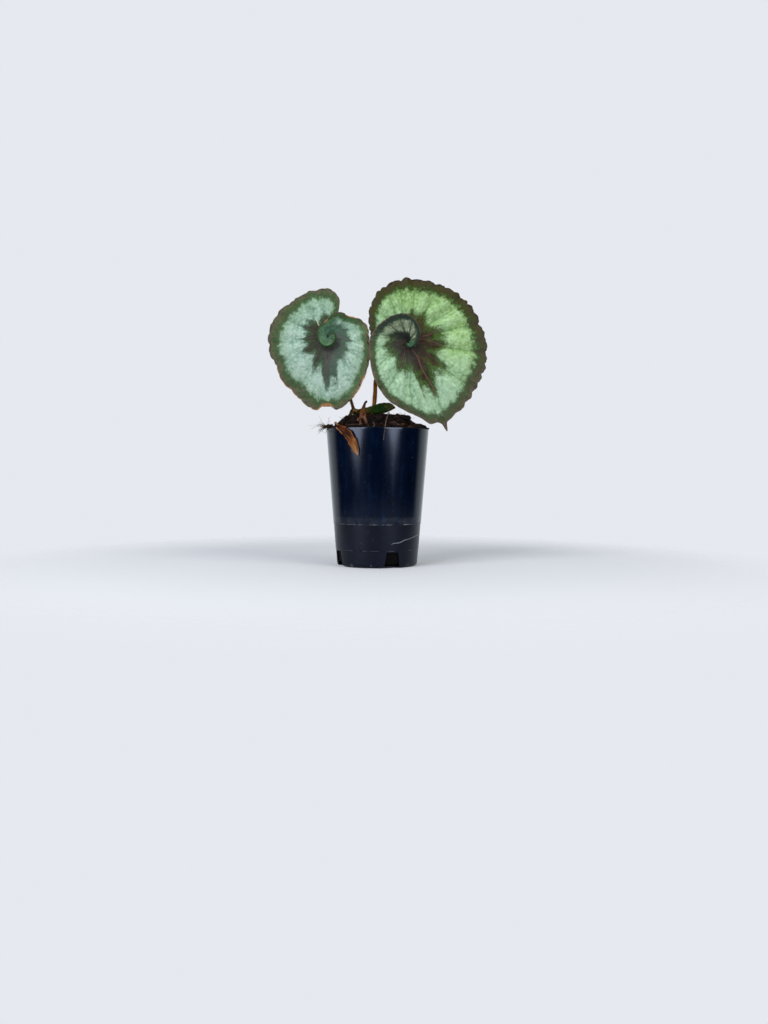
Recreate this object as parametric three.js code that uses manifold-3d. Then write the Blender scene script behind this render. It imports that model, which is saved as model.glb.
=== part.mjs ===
// Potted spiral-leaf begonia: two snail-shell leaves on bare stalks rise from a creeping
// rhizome that is rooted in a mound of potting mix, in a thin black nursery pot.
// Millimetres, +Z up, front towards -Y, origin at the centre of the pot's underside.

import * as THREE from "three";
import { mergeVertices } from "three/addons/utils/BufferGeometryUtils.js";
import Module from "manifold-3d";

// ---- Driving dimensions ----

const CLEARANCE = 0.3; // gap kept between pieces that rest on each other

const POT_HEIGHT = 132;
const RIM_RADIUS = 50;
const WALL_SLOPE = 0.078; // radius lost for each millimetre down the wall
const WALL = 1.1;
const FLOOR = 1.6;
const FOOT_ROUND = 3; // corner between wall and underside
const RIM_ROUND = 0.4;
const SHOULDER_Z = 41.5; // stacking shoulder
const SHOULDER_STEP = 0.4;
const BAND_Z = 16.5; // foot band, just above the tops of the drain slots
const BAND_STEP = 0.2;
const STEP_SLOPE = 0.6; // height over which the wall steps in
const POT_SEGMENTS = 64;

const SLOTS = 4;
const SLOT_TURN = 21.9; // degrees from the front to the first slot
const SLOT_HEIGHT = 14.7;
const SLOT_TOP = 11.5;
const SLOT_FOOT = 16;
const SLOT_REACH = 4.5; // how far a slot runs in under the floor
const SLOT_OVERRUN = 4;

const MOUND_CENTRE = [-1, 0];
const MOUND_EDGE_Z = 129.5; // level of the mix against the wall
const MOUND_HEIGHT = 14.5;
const MOUND_FLAT = 27; // radius of the level top
const MOUND_FOOT = 43; // radius where the slope meets the edge level
const HEAP_HEIGHT = 4; // extra mix heaped against the left and right of the rim
const HEAP_SPAN = [22, 40];
const MIX_SEGMENTS = 40;

const BLADE = 0.9; // leaf thickness
const HUB_HOLE = 1.3; // radius of the hole that the stalk's tip fills
const LEAN = 0.14; // how far the blade falls back for each millimetre up
const LEAF_STEP = 7.5; // degrees of sweep between two rows of vertices
const LEAF_RINGS = 4;

const RIGHT_HUB = [28.6, -16, 215.7];
const LEFT_HUB = [-49.2, -10, 220.9];

// A leaf is a ramp that winds about its hub. Each outline pair is [degrees swept, reach in mm].
// Both sweeps start at the hidden free lobe and end in the curl at the centre.
const RIGHT_LEAF = {
  hub: RIGHT_HUB,
  start: 180, // direction of sweep 0, in degrees from +X towards +Z
  turn: -1, // clockwise from the front
  pitch: 5, // rise towards the front for each full turn
  yaw: 0.12, // fall back for each millimetre towards +X
  dome: 0.0018, // bend back for each square millimetre of reach
  curlFrom: 330,
  curlRise: 7,
  details: [240, 243, 245.5, 248, 251],
  outline: [
    [-66, 14],
    [-40, 23],
    [-15, 32],
    [12, 36.6],
    [45, 49.6],
    [60, 55.4],
    [75, 59],
    [90, 60.7],
    [105, 60.9],
    [120, 63.4],
    [135, 67.8],
    [150, 70.2],
    [165, 73],
    [180, 76.2],
    [195, 78.2],
    [210, 79],
    [225, 81.3],
    [240, 85],
    [243, 85.6],
    [245.5, 93.2],
    [248, 83.5],
    [255, 81],
    [261, 73.6],
    [274, 65.8],
    [287, 60.2],
    [300, 52.9],
    [315, 46.2],
    [330, 41.3],
    [347, 37.9],
    [364, 35.9],
    [379, 32.6],
    [402, 29.2],
    [422, 27.6],
    [440, 26.3],
    [458, 23.6],
    [480, 18.9],
    [507, 14.1],
    [543, 9.4],
    [603, 7.4],
    [649, 5.3],
    [684, 4.8],
  ],
};

const LEFT_LEAF = {
  hub: LEFT_HUB,
  start: 0,
  turn: 1, // anticlockwise from the front
  pitch: 5,
  yaw: -0.2,
  dome: 0.0022,
  curlFrom: 350,
  curlRise: 7,
  details: [60, 66, 70, 76, 267, 273, 279],
  outline: [
    [60, 20],
    [66, 28],
    [70, 36],
    [76, 40.5],
    [86, 45.3],
    [94, 47],
    [109, 47.6],
    [123, 48.4],
    [138, 49.8],
    [152, 54],
    [166, 56.2],
    [180, 57.9],
    [195, 58.5],
    [209, 57.3],
    [223, 60.8],
    [238, 63],
    [252, 67.9],
    [262, 70.5],
    [267, 66.6],
    [273, 66.6],
    [279, 70],
    [286, 68.3],
    [294, 64.5],
    [306, 57.3],
    [320, 51.4],
    [332, 47.1],
    [352, 41.5],
    [371, 40.2],
    [380, 37.6],
    [393, 31.9],
    [404, 27.6],
    [415, 27],
    [427, 24.4],
    [444, 17.4],
    [464, 13.4],
    [488, 12],
    [514, 9.7],
    [560, 7.5],
    [622, 9.4],
    [680, 9],
    [760, 8],
  ],
};

const RHIZOME = {
  path: [
    [13, 5, 138],
    [5, 2, 144],
    [-4, -1, 146.5],
    [-13, -3.5, 146.6],
    [-20, -6, 146.8],
    [-26.5, -8, 147.8],
  ],
  radius: [
    [0, 2.6],
    [0.15, 4.2],
    [0.5, 4.5],
    [0.7, 4.1],
    [0.88, 5],
    [0.96, 4.4],
    [1, 3],
  ],
};

const RIGHT_STALK = {
  path: [
    [-5, -1.5, 146],
    [-3.5, -1.8, 156],
    [-2.6, -0.8, 167],
    [-2.1, 1, 178],
    [1, 3.6, 190],
    [9, 4.4, 202],
    [20, 1.8, 211.5],
    [27.4, -5, 215.2],
    [28.6, -12, 215.7],
    [28.6, -20, 215.7],
  ],
  radius: [
    [0, 2.5],
    [0.12, 2.1],
    [0.75, 1.9],
    [0.86, 1.7],
    [0.93, 0.9],
    [1, 0.9],
  ],
};

const LEFT_STALK = {
  path: [
    [-23, -6.8, 148],
    [-24, -5.6, 153.5],
    [-26, -4, 160],
    [-30.8, -1, 174],
    [-38, 3, 194],
    [-45, 4, 211],
    [-48.6, 0, 219],
    [-49.2, -6, 220.9],
    [-49.2, -14, 220.9],
  ],
  radius: [
    [0, 2],
    [0.1, 1.5],
    [0.75, 1.5],
    [0.87, 1.4],
    [0.94, 0.9],
    [1, 0.9],
  ],
};

// The young leaf is still folded along its midrib, like a purse with its mouth upwards.
const YOUNG_LEAF = {
  midrib: [
    [-19, -12.5, 148],
    [-10, -11.8, 146.6],
    [0, -11, 146.6],
    [9, -10.5, 148.4],
    [17, -9.5, 152.4],
  ],
  halfWidth: [
    [0, 2.5],
    [0.25, 6.5],
    [0.6, 10.2],
    [0.85, 7.6],
    [1, 1],
  ],
  spread: 0.17, // how far a margin leans out for each millimetre up
  hollow: 1.6, // gap between the two halves near the fold
};

const YOUNG_STALK = {
  path: [
    [-21.5, -7.5, 147.5],
    [-22.6, -12, 149],
    [-21.4, -13.2, 148.8],
    [-19.6, -12.8, 148.4],
  ],
  radius: [
    [0, 1.5],
    [1, 1.2],
  ],
};

const DRY_STUB = {
  path: [
    [-14, -31.5, 135],
    [-13.7, -30, 142],
    [-13.3, -28.2, 148.5],
    [-12.5, -26.8, 153.8],
    [-11, -26.2, 156.8],
    [-9.8, -26, 157.2],
  ],
  radius: [
    [0, 3],
    [0.6, 2.8],
    [0.8, 1.5],
    [1, 1.1],
  ],
};

const HANGING_ROOT = {
  path: [
    [11.4, -20, 142],
    [11, -22.5, 147.2],
    [9.6, -31, 143.9],
    [8.3, -40, 138.9],
    [7.5, -47.6, 134.4],
    [7.3, -50.1, 132.7],
    [7, -50.4, 130.5],
    [6.4, -50.1, 126],
    [5.7, -49.7, 120],
  ],
  radius: [
    [0, 0.8],
    [1, 0.55],
  ],
};

// The dried bract lies over the rim and slants down the wall. Each pair is [x, z].
const BRACT = {
  overRim: [
    [-40, -27, 137],
    [-38.5, -33, 135],
  ],
  downWall: [
    [-34.9, 132],
    [-31, 129.1],
    [-27.2, 125.8],
    [-24.3, 121.6],
    [-22, 116.9],
    [-20.3, 112.7],
    [-17.8, 106.2],
  ],
  stand: 1.5, // from the wall to its middle
  halfWidth: [
    [0, 2],
    [0.2, 3.4],
    [0.45, 4.8],
    [0.7, 4.8],
    [0.88, 3.4],
    [1, 1],
  ],
  keel: 1.4, // height of the lengthwise fold
  thickness: 0.8,
};

const RIM_CLUMP = { centre: [-46.6, -4, 134.6], size: [6.4, 6, 2.6], turn: 10 };

// Bark and peat lumps on the mix: centre in plan, half sizes, turn in degrees, tilt in degrees.
const LUMPS = [
  { at: [15.5, -33], size: [5.4, 2.2, 1.5], turn: 38, tilt: 28 },
  { at: [24.5, -18], size: [6.6, 4.2, 2.6], turn: -8, tilt: 5 },
  { at: [36.5, -14], size: [4.6, 3.4, 2.2], turn: 35, tilt: -16 },
  { at: [43.5, -8], size: [4.4, 3.4, 2.4], turn: 70, tilt: 8 },
  { at: [1, -31], size: [4.6, 2.8, 1.8], turn: -12, tilt: 20 },
  { at: [-33, -17], size: [4.8, 3.4, 2.2], turn: 25, tilt: -14 },
  { at: [-26, -33], size: [4.4, 2.6, 1.8], turn: -40, tilt: 18 },
  { at: [24, 20], size: [5.6, 3.6, 2.2], turn: 60, tilt: -10 },
  { at: [-18, 27], size: [5.2, 3.2, 2.2], turn: 15, tilt: 12 },
  { at: [4, 34], size: [4.6, 3, 2], turn: -55, tilt: 20 },
];

// ---- Finishes ----

function finish(color, roughness) {
  return new THREE.MeshStandardMaterial({ color, roughness, metalness: 0 });
}

const POLYPROPYLENE = finish("#0a0e1c", 0.3);
const PEAT = finish("#1c1512", 0.95);
const BARK = finish("#33201a", 0.85);
const RHIZOME_SKIN = finish("#5b5636", 0.7);
const STALK_SKIN = finish("#7a4a1c", 0.5);
const SILVERED_LEAF = finish("#93bf93", 0.45);
const YOUNG_GREEN = finish("#1d4410", 0.4);
const DRY_TISSUE = finish("#7c5030", 0.8);
const ROOT_SKIN = finish("#b3a08c", 0.7);

// ---- Geometry helpers ----

const wasm = await Module();
wasm.setup();

const radians = THREE.MathUtils.degToRad;
const lerp = THREE.MathUtils.lerp;

// Smooth curve through [place, value] pairs, read at one place.
function smooth(pairs, place) {
  const last = pairs.length - 1;
  const found = pairs.findIndex(([p]) => p > place);
  const k = found < 0 ? last - 1 : Math.max(found - 1, 0);
  const [p0, v0] = pairs[k];
  const [p1, v1] = pairs[k + 1];
  const slope = (i) => {
    const [pa, va] = pairs[Math.max(i - 1, 0)];
    const [pb, vb] = pairs[Math.min(i + 1, last)];
    return (vb - va) / (pb - pa);
  };
  const gap = p1 - p0;
  const t = THREE.MathUtils.clamp((place - p0) / gap, 0, 1);
  const tt = t * t;
  const ttt = tt * t;
  return (
    v0 * (2 * ttt - 3 * tt + 1) +
    v1 * (3 * tt - 2 * ttt) +
    gap * slope(k) * (ttt - 2 * tt + t) +
    gap * slope(k + 1) * (ttt - tt)
  );
}

// Moves every vertex of a geometry to where the function puts it.
function warp(geometry, place) {
  const spots = geometry.attributes.position;
  for (let i = 0; i < spots.count; i += 1) {
    const spot = place(new THREE.Vector3().fromBufferAttribute(spots, i));
    spots.setXYZ(i, spot.x, spot.y, spot.z);
  }
  return geometry;
}

function solidOf(geometry) {
  const bare = geometry.clone();
  bare.deleteAttribute("normal");
  bare.deleteAttribute("uv");
  const merged = mergeVertices(bare, 1e-4);
  return new wasm.Manifold(
    new wasm.Mesh({
      numProp: 3,
      vertProperties: merged.attributes.position.array,
      triVerts: new Uint32Array(merged.index.array),
    }),
  );
}

function geometryOf(solid) {
  const mesh = solid.getMesh();
  const geometry = new THREE.BufferGeometry();
  geometry.setAttribute("position", new THREE.BufferAttribute(mesh.vertProperties, 3));
  geometry.setIndex(new THREE.BufferAttribute(mesh.triVerts, 1));
  return geometry;
}

function cut(geometry, ...tools) {
  const rest = tools.reduce((left, tool) => left.subtract(tool), solidOf(geometry));
  return geometryOf(rest);
}

function curveThrough(points) {
  const spots = points.map((p) => new THREE.Vector3(...p));
  return new THREE.CatmullRomCurve3(spots, false, "centripetal");
}

// A round stem along a curve, `extra` thicker all round where it serves as a cutter.
function stem({ path, radius }, sides, steps, extra = 0) {
  const curve = curveThrough(path);
  const { normals, binormals } = curve.computeFrenetFrames(steps);
  return warp(new THREE.CylinderGeometry(1, 1, 1, sides, steps), (p) => {
    const share = p.y + 0.5;
    const step = Math.round(share * steps);
    const r = smooth(radius, share) + extra;
    return curve
      .getPointAt(share)
      .addScaledVector(normals[step], p.x * r)
      .addScaledVector(binormals[step], -p.z * r);
  });
}

// ---- Pot ----

function wallRadius(z) {
  const shoulder = z < SHOULDER_Z ? SHOULDER_STEP : 0;
  const band = z < BAND_Z ? BAND_STEP : 0;
  return RIM_RADIUS - WALL_SLOPE * (POT_HEIGHT - z) - shoulder - band;
}

// The wall's section from the underside's centre, up the outside and back down the inside.
function potProfile(extra) {
  const outside = [
    [FOOT_ROUND, 0],
    [BAND_Z - STEP_SLOPE, 0],
    [BAND_Z, 0],
    [SHOULDER_Z - STEP_SLOPE, 0],
    [SHOULDER_Z, 0],
    [POT_HEIGHT - RIM_ROUND, 0],
    [POT_HEIGHT, -RIM_ROUND],
  ].map(([z, inset]) => new THREE.Vector2(wallRadius(z) + inset + extra, z));
  const cornerX = wallRadius(FOOT_ROUND) - FOOT_ROUND;
  const corner = [0, 30, 60].map((turn) => {
    const angle = radians(turn);
    return new THREE.Vector2(
      cornerX + FOOT_ROUND * Math.sin(angle) + (turn ? extra : 0),
      FOOT_ROUND * (1 - Math.cos(angle)),
    );
  });
  const inside = [POT_HEIGHT, SHOULDER_Z, SHOULDER_Z - STEP_SLOPE, FLOOR + FOOT_ROUND].map(
    (z) => new THREE.Vector2(wallRadius(z) - WALL - extra, z),
  );
  outside.at(-1).y += extra;
  inside[0].y += extra;
  return [
    new THREE.Vector2(0, 0),
    ...corner,
    ...outside,
    ...inside,
    new THREE.Vector2(wallRadius(FLOOR) - WALL - FOOT_ROUND / 2 - extra, FLOOR + extra),
    new THREE.Vector2(0, FLOOR + extra),
  ];
}

function potBody(extra = 0) {
  return new THREE.LatheGeometry(potProfile(extra), POT_SEGMENTS).rotateX(Math.PI / 2);
}

function slotCutter(index) {
  const outline = new THREE.Shape([
    new THREE.Vector2(-SLOT_FOOT / 2, -1),
    new THREE.Vector2(SLOT_FOOT / 2, -1),
    new THREE.Vector2(SLOT_TOP / 2, SLOT_HEIGHT),
    new THREE.Vector2(-SLOT_TOP / 2, SLOT_HEIGHT),
  ]);
  const inner = wallRadius(0) - SLOT_REACH;
  const depth = SLOT_REACH + SLOT_OVERRUN;
  return new THREE.ExtrudeGeometry(outline, { depth, bevelEnabled: false })
    .rotateX(Math.PI / 2)
    .translate(0, -inner, 0)
    .rotateZ(radians(SLOT_TURN + (index * 360) / SLOTS));
}

function pot() {
  const slots = Array.from({ length: SLOTS }, (_, i) => solidOf(slotCutter(i)));
  return cut(potBody(), ...slots);
}

// ---- Potting mix ----

function moundHeight(x, y) {
  const reach = Math.hypot(x - MOUND_CENTRE[0], y - MOUND_CENTRE[1]);
  const rise = 1 - THREE.MathUtils.smoothstep(reach, MOUND_FLAT, MOUND_FOOT);
  const heap = HEAP_HEIGHT * THREE.MathUtils.smoothstep(Math.abs(x), ...HEAP_SPAN) * (1 - rise);
  const lumps = 0.8 * Math.sin(x / 3.1 + 1) * Math.sin(y / 3.7) + 0.5 * Math.sin(x / 5 - y / 4);
  return MOUND_EDGE_Z + MOUND_HEIGHT * rise + heap + lumps;
}

function mixBody(raised = 0) {
  const top = [0, 8, 15, 21, 26, 30, 34, 38, 42, 45.5];
  const wallAt = (z) => wallRadius(z) - WALL - CLEARANCE;
  const bottomZ = FLOOR + CLEARANCE;
  const profile = [
    new THREE.Vector2(0, bottomZ),
    new THREE.Vector2(wallAt(bottomZ) - FOOT_ROUND, bottomZ),
    new THREE.Vector2(wallAt(FLOOR + FOOT_ROUND) - CLEARANCE, FLOOR + FOOT_ROUND + 1),
    new THREE.Vector2(wallAt(SHOULDER_Z - STEP_SLOPE) - CLEARANCE, SHOULDER_Z - STEP_SLOPE),
    new THREE.Vector2(wallAt(SHOULDER_Z) - CLEARANCE / 2, SHOULDER_Z + 2),
    new THREE.Vector2(wallAt(MOUND_EDGE_Z - 3), MOUND_EDGE_Z - 3),
    ...top.reverse().map((r) => new THREE.Vector2(r, MOUND_EDGE_Z)),
  ];
  const body = new THREE.LatheGeometry(profile, MIX_SEGMENTS).rotateX(Math.PI / 2);
  return warp(body, (p) => {
    if (p.z > MOUND_EDGE_Z - 1) p.z = moundHeight(p.x, p.y) + raised;
    return p;
  });
}

// ---- Leaves ----

function rowsOf(leaf) {
  const first = leaf.outline[0][0];
  const last = leaf.outline.at(-1)[0];
  const rows = [...leaf.details, last];
  for (let sweep = first; sweep < last - LEAF_STEP / 2; sweep += LEAF_STEP) rows.push(sweep);
  const sorted = rows.sort((a, b) => a - b);
  return sorted.filter((sweep, i) => i === 0 || sweep - sorted[i - 1] > 1);
}

// Where a leaf's middle surface lies, for a sweep and a share of the way out to the margin.
function bladePoint(leaf, sweep, share) {
  const first = leaf.outline[0][0];
  const last = leaf.outline.at(-1)[0];
  const reach = lerp(HUB_HOLE, smooth(leaf.outline, sweep), share);
  const angle = radians(leaf.start + leaf.turn * sweep);
  const across = reach * Math.cos(angle);
  const up = reach * Math.sin(angle);
  const curl = THREE.MathUtils.smoothstep(sweep, leaf.curlFrom, last) * leaf.curlRise;
  const ripple = 0.8 * Math.sin(3 * angle) * Math.min(reach / 40, 1);
  const rise = (leaf.pitch * (sweep - first)) / 360 + curl * share ** 2;
  const back = LEAN * up + leaf.yaw * across + leaf.dome * reach ** 2 + ripple - rise;
  const [x, y, z] = leaf.hub;
  return new THREE.Vector3(x + across, y + back, z + up);
}

function spiralLeaf(leaf) {
  const rows = rowsOf(leaf);
  const steps = rows.length - 1;
  return warp(new THREE.BoxGeometry(1, 1, 1, steps, LEAF_RINGS, 1), (p) => {
    const sweep = rows[Math.round((p.x + 0.5) * steps)];
    const spot = bladePoint(leaf, sweep, p.y + 0.5);
    spot.y -= p.z * BLADE * -leaf.turn;
    return spot;
  });
}

// The young leaf's two halves stand up from the midrib, the front one nearer -Y.
function youngLeaf() {
  const { midrib, halfWidth, spread, hollow } = YOUNG_LEAF;
  const curve = curveThrough(midrib);
  return warp(new THREE.BoxGeometry(1, 1, 1, 14, 8, 1), (p) => {
    const along = p.x + 0.5;
    const side = p.y * 2; // -1 at the front margin, +1 at the back one
    const up = Math.abs(side) * smooth(halfWidth, along);
    const out = Math.sign(side) * (Math.min(up / 2, 1) * (hollow / 2) + spread * up);
    const spot = curve.getPointAt(along);
    const inner = p.z * BLADE;
    spot.y += out - inner * Math.sign(side);
    spot.z += up * 0.94 + inner * (1 - Math.min(Math.abs(side) * 3, 1));
    return spot;
  });
}

// ---- Dried bract ----

function bractSpine() {
  const { overRim, downWall, stand } = BRACT;
  const wall = downWall.map(([x, z]) => {
    const reach = wallRadius(z) + stand;
    return [x, -Math.sqrt(reach ** 2 - x ** 2), z];
  });
  return curveThrough([...overRim, ...wall]);
}

function driedBract() {
  const spine = bractSpine();
  return warp(new THREE.BoxGeometry(1, 1, 1, 16, 4, 1), (p) => {
    const along = p.x + 0.5;
    const side = p.y * 2;
    const spot = spine.getPointAt(along);
    const out = new THREE.Vector3(spot.x, spot.y, 0).normalize();
    const forward = spine.getTangentAt(along);
    const across = new THREE.Vector3().crossVectors(out, forward).normalize();
    const lift = BRACT.keel * (1 - Math.abs(side)) + p.z * BRACT.thickness;
    return spot
      .addScaledVector(across, side * smooth(BRACT.halfWidth, along))
      .addScaledVector(out, lift - BRACT.keel / 2);
  });
}

// ---- Lumps of bark and peat ----

function lump([x, y, z], [a, b, c], turn, tilt) {
  return warp(new THREE.IcosahedronGeometry(1, 1), (p) => {
    const rough = 1 + 0.12 * Math.sin(5 * p.x + x) * Math.sin(6 * p.y - y) * Math.cos(4 * p.z);
    return p
      .multiplyScalar(rough)
      .multiply(new THREE.Vector3(a, b, c))
      .applyAxisAngle(new THREE.Vector3(0, 1, 0), radians(tilt))
      .applyAxisAngle(new THREE.Vector3(0, 0, 1), radians(turn))
      .add(new THREE.Vector3(x, y, z));
  });
}

// ---- Assembly ----

const group = new THREE.Group();

function add(name, geometry, material) {
  const mesh = new THREE.Mesh(geometry, material);
  mesh.name = name;
  group.add(mesh);
}

const potCutter = solidOf(potBody(CLEARANCE));
const mixCutter = solidOf(mixBody(CLEARANCE));
const rhizomeCutter = solidOf(stem(RHIZOME, 12, 14, CLEARANCE));
const stalkCutter = solidOf(stem(RIGHT_STALK, 10, 30, CLEARANCE));
const youngStalkCutter = solidOf(stem(YOUNG_STALK, 8, 8, CLEARANCE));
const youngLeafCutters = [mixCutter, rhizomeCutter, stalkCutter, youngStalkCutter];

add("pot", pot(), POLYPROPYLENE);
add("potting_mix", cut(mixBody(), rhizomeCutter), PEAT);
add("rhizome", stem(RHIZOME, 12, 14), RHIZOME_SKIN);
add("stalk_right", cut(stem(RIGHT_STALK, 10, 30), rhizomeCutter), STALK_SKIN);
add("stalk_left", cut(stem(LEFT_STALK, 10, 30), rhizomeCutter), STALK_SKIN);
add("leaf_right", spiralLeaf(RIGHT_LEAF), SILVERED_LEAF);
add("leaf_left", spiralLeaf(LEFT_LEAF), SILVERED_LEAF);
add("young_leaf", cut(youngLeaf(), ...youngLeafCutters), YOUNG_GREEN);
add("young_stalk", cut(stem(YOUNG_STALK, 8, 8), rhizomeCutter, mixCutter), STALK_SKIN);
add("dry_stub", cut(stem(DRY_STUB, 10, 12), mixCutter), DRY_TISSUE);
add("dried_bract", cut(driedBract(), potCutter, mixCutter), DRY_TISSUE);
add("hanging_root", cut(stem(HANGING_ROOT, 6, 20), potCutter, mixCutter), ROOT_SKIN);

const { centre, size, turn } = RIM_CLUMP;
add("rim_clump", cut(lump(centre, size, turn, 0), potCutter, mixCutter), PEAT);

LUMPS.forEach(({ at, size: halves, turn: yaw, tilt }, i) => {
  const middle = [...at, moundHeight(...at) + halves[2] * 0.35];
  add(`bark_${i + 1}`, cut(lump(middle, halves, yaw, tilt), mixCutter, potCutter), BARK);
});

export default group;
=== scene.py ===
# Looks of a small spiral-leaf begonia in a black nursery pot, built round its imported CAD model.
# Lengths are in millimetres until a mesh is made, where they become metres.

import math
from functools import partial

import bmesh
import bpy
import numpy as np
from mathutils import Matrix, Vector, noise


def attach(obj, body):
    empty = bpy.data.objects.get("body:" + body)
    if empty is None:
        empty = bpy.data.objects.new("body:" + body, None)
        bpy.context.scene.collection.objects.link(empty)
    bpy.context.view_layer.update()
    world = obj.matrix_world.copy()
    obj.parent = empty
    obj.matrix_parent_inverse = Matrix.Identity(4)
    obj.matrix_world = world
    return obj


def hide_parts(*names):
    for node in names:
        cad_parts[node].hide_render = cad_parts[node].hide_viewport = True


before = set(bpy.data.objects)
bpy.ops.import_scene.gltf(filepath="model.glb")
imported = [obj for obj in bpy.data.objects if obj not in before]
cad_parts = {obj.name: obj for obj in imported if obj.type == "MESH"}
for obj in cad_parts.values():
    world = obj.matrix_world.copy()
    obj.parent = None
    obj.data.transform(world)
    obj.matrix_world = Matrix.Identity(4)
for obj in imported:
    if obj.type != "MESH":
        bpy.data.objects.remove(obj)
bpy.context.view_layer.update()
scene = bpy.context.scene
MM = 0.001


# ---- Camera ----
# A 32 mm lens on a full-frame portrait body, standing level with the pot's middle and
# looking down by a little over two degrees, 88 cm from the pot's axis.

LENS = 31.64
SENSOR = 36.0
CAMERA_AT = (6.6, -882.0, 88.8)
TIPPED = math.radians(90 - 2.42)
ROLLED = math.radians(0.25)

camera_data = bpy.data.cameras.new("portrait_camera")
camera_data.lens = LENS
camera_data.sensor_width = SENSOR
camera = bpy.data.objects.new("portrait_camera", camera_data)
camera.location = Vector(CAMERA_AT) * MM
camera.rotation_euler = (Matrix.Rotation(TIPPED, 4, "X") @ Matrix.Rotation(ROLLED, 4, "Z")).to_euler()
scene.collection.objects.link(camera)
scene.camera = camera
scene.view_settings.view_transform = "Standard"


# ---- Nursery pot ----
# One thin injection moulding in black polypropylene: a tapered wall with a stacking shoulder
# and a foot band, four drain slots cut through the foot's corner, and a plain rim.

POT_HEIGHT = 132.0
RIM_RADIUS = 50.0
WALL_SLOPE = 0.078  # radius lost for each mm down
WALL = 1.1
FOOT_ROUND = 3.0  # radius of the foot's corner
SHOULDER_Z, SHOULDER_STEP = 41.5, 0.4
BAND_Z, BAND_STEP = 16.5, 0.2
STEP_SLOPE = 0.6  # height over which a step comes in
SLOT_TURN = 21.9  # degrees from the front to the nearest slot
SLOT_HEIGHT, SLOT_REACH = 14.7, 4.5  # up the wall and in under the floor
SLOT_TOP, SLOT_FOOT = 11.5, 16.0  # widths
POT_COLUMNS = 240
SLOT_COLUMNS = 7  # columns between a slot's middle and its edge


def linear(code):
    """A colour such as "#0a0e1c", from sRGB to linear."""
    shares = [int(code[k : k + 2], 16) / 255 for k in (1, 3, 5)]
    return (*(s / 12.92 if s <= 0.04045 else ((s + 0.055) / 1.055) ** 2.4 for s in shares), 1.0)


def add_node(tree, kind, *places, stops=(), **named):
    """Adds a shader node, its kind followed by its mode if it has one. An input is a number, a hex
    colour, the name of a point attribute, a socket, or a node, which gives its first output."""
    kind, _, mode = kind.partition(" ")
    node = tree.nodes.new("ShaderNode" + kind)
    if mode:
        setattr(node, "operation" if hasattr(node, "operation") else "interpolation_type", mode)
    for place, code in stops:
        ramp = node.color_ramp.elements
        stop = ramp[0] if place == 0 else ramp[-1] if place == 1 else ramp.new(place)
        stop.color = linear(code)
    inputs = dict(enumerate(places))
    for key, value in named.items():
        if key.islower():
            setattr(node, key, value)
        else:
            inputs[key.replace("_", " ")] = value
    for key, value in inputs.items():
        if isinstance(value, str) and value.startswith("#"):
            value = linear(value)
        elif isinstance(value, str):
            value = add_node(tree, "Attribute", attribute_name=value).outputs["Fac"]
        elif isinstance(value, bpy.types.Node):
            value = value.outputs[0]
        if isinstance(value, bpy.types.NodeSocket):
            tree.links.new(value, node.inputs[key])
        else:
            node.inputs[key].default_value = value
    return node


def start_nodes(owner):
    """Clears a material's or a world's nodes and gives a short way to add its own."""
    owner.use_nodes = True
    owner.node_tree.nodes.clear()
    return partial(add_node, owner.node_tree)


def start_material(name):
    """A new material, the way to add its nodes, and the place on the object in millimetres."""
    material = bpy.data.materials.new(name)
    add = start_nodes(material)
    return material, add, add("VectorMath SCALE", add("TexCoord").outputs["Object"], Scale=1000.0)


def add_up(add, start, *weighted):
    """A start value and a weighted sum of what follows, given as (value, weight)."""
    for value, weight in weighted:
        start = add("Math MULTIPLY_ADD", value, weight, start)
    return start


def lay_over(add, skin, *coats):
    """A skin's colour under coats that are laid on in turn, each as (how much shows, its colour)."""
    for share, colour in coats:
        skin = add("MixRGB", share, skin, colour)
    return skin


def finish_skin(add, colour, relief, strength, depth, **finish):
    """Ends a material with its shader: colour, a relief of so many mm, and the rest of its finish."""
    bump = add("Bump", Height=relief, Strength=strength, Distance=depth * MM)
    add("OutputMaterial", Surface=add("BsdfPrincipled", Base_Color=colour, Normal=bump, **finish))


def make_piece(name, spots, faces, *materials, slot, replaces=(), **tones):
    """A smooth-shaded mesh from points in millimetres, riding on the plant's one body. tones are
    values at its points that its material reads by name."""
    mesh = bpy.data.meshes.new(name)
    mesh.from_pydata((np.asarray(spots, float) * MM).tolist(), [], [list(f) for f in faces])
    for material in materials:
        mesh.materials.append(material)
    for key, values in tones.items():
        mesh.attributes.new(key, "FLOAT", "POINT").data.foreach_set("value", np.asarray(values, np.float32))
    mesh.shade_smooth()
    piece = bpy.data.objects.new(name, mesh)
    scene.collection.objects.link(piece)
    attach(piece, "root")
    if replaces:
        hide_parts(*replaces)
    return piece


def grid_faces(rows, columns, first=0, closed=False, flip=False):
    """Quads over a grid of points that is stored row by row, closed round its columns if asked."""
    strips = columns if closed else columns - 1
    row, column = np.divmod(np.arange((rows - 1) * strips), strips)
    beside = (column + 1) % columns
    quads = np.stack([row * columns + column, row * columns + beside], axis=1)
    quads = np.concatenate([quads, quads[:, ::-1] + columns], axis=1)
    return (quads[:, ::-1] if flip else quads) + first


def wall_radius(z):
    """The pot's outer radius at a height, with its two steps."""
    z = np.asarray(z, float)
    steps = np.where(z < SHOULDER_Z, SHOULDER_STEP, 0) + np.where(z < BAND_Z, BAND_STEP, 0)
    return RIM_RADIUS - WALL_SLOPE * (POT_HEIGHT - z) - steps


def smoothstep(low, high, value):
    """0 up to low, 1 from high on, and a soft rise between."""
    t = np.clip((np.asarray(value, float) - low) / (high - low), 0, 1)
    return t * t * (3 - 2 * t)


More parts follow.
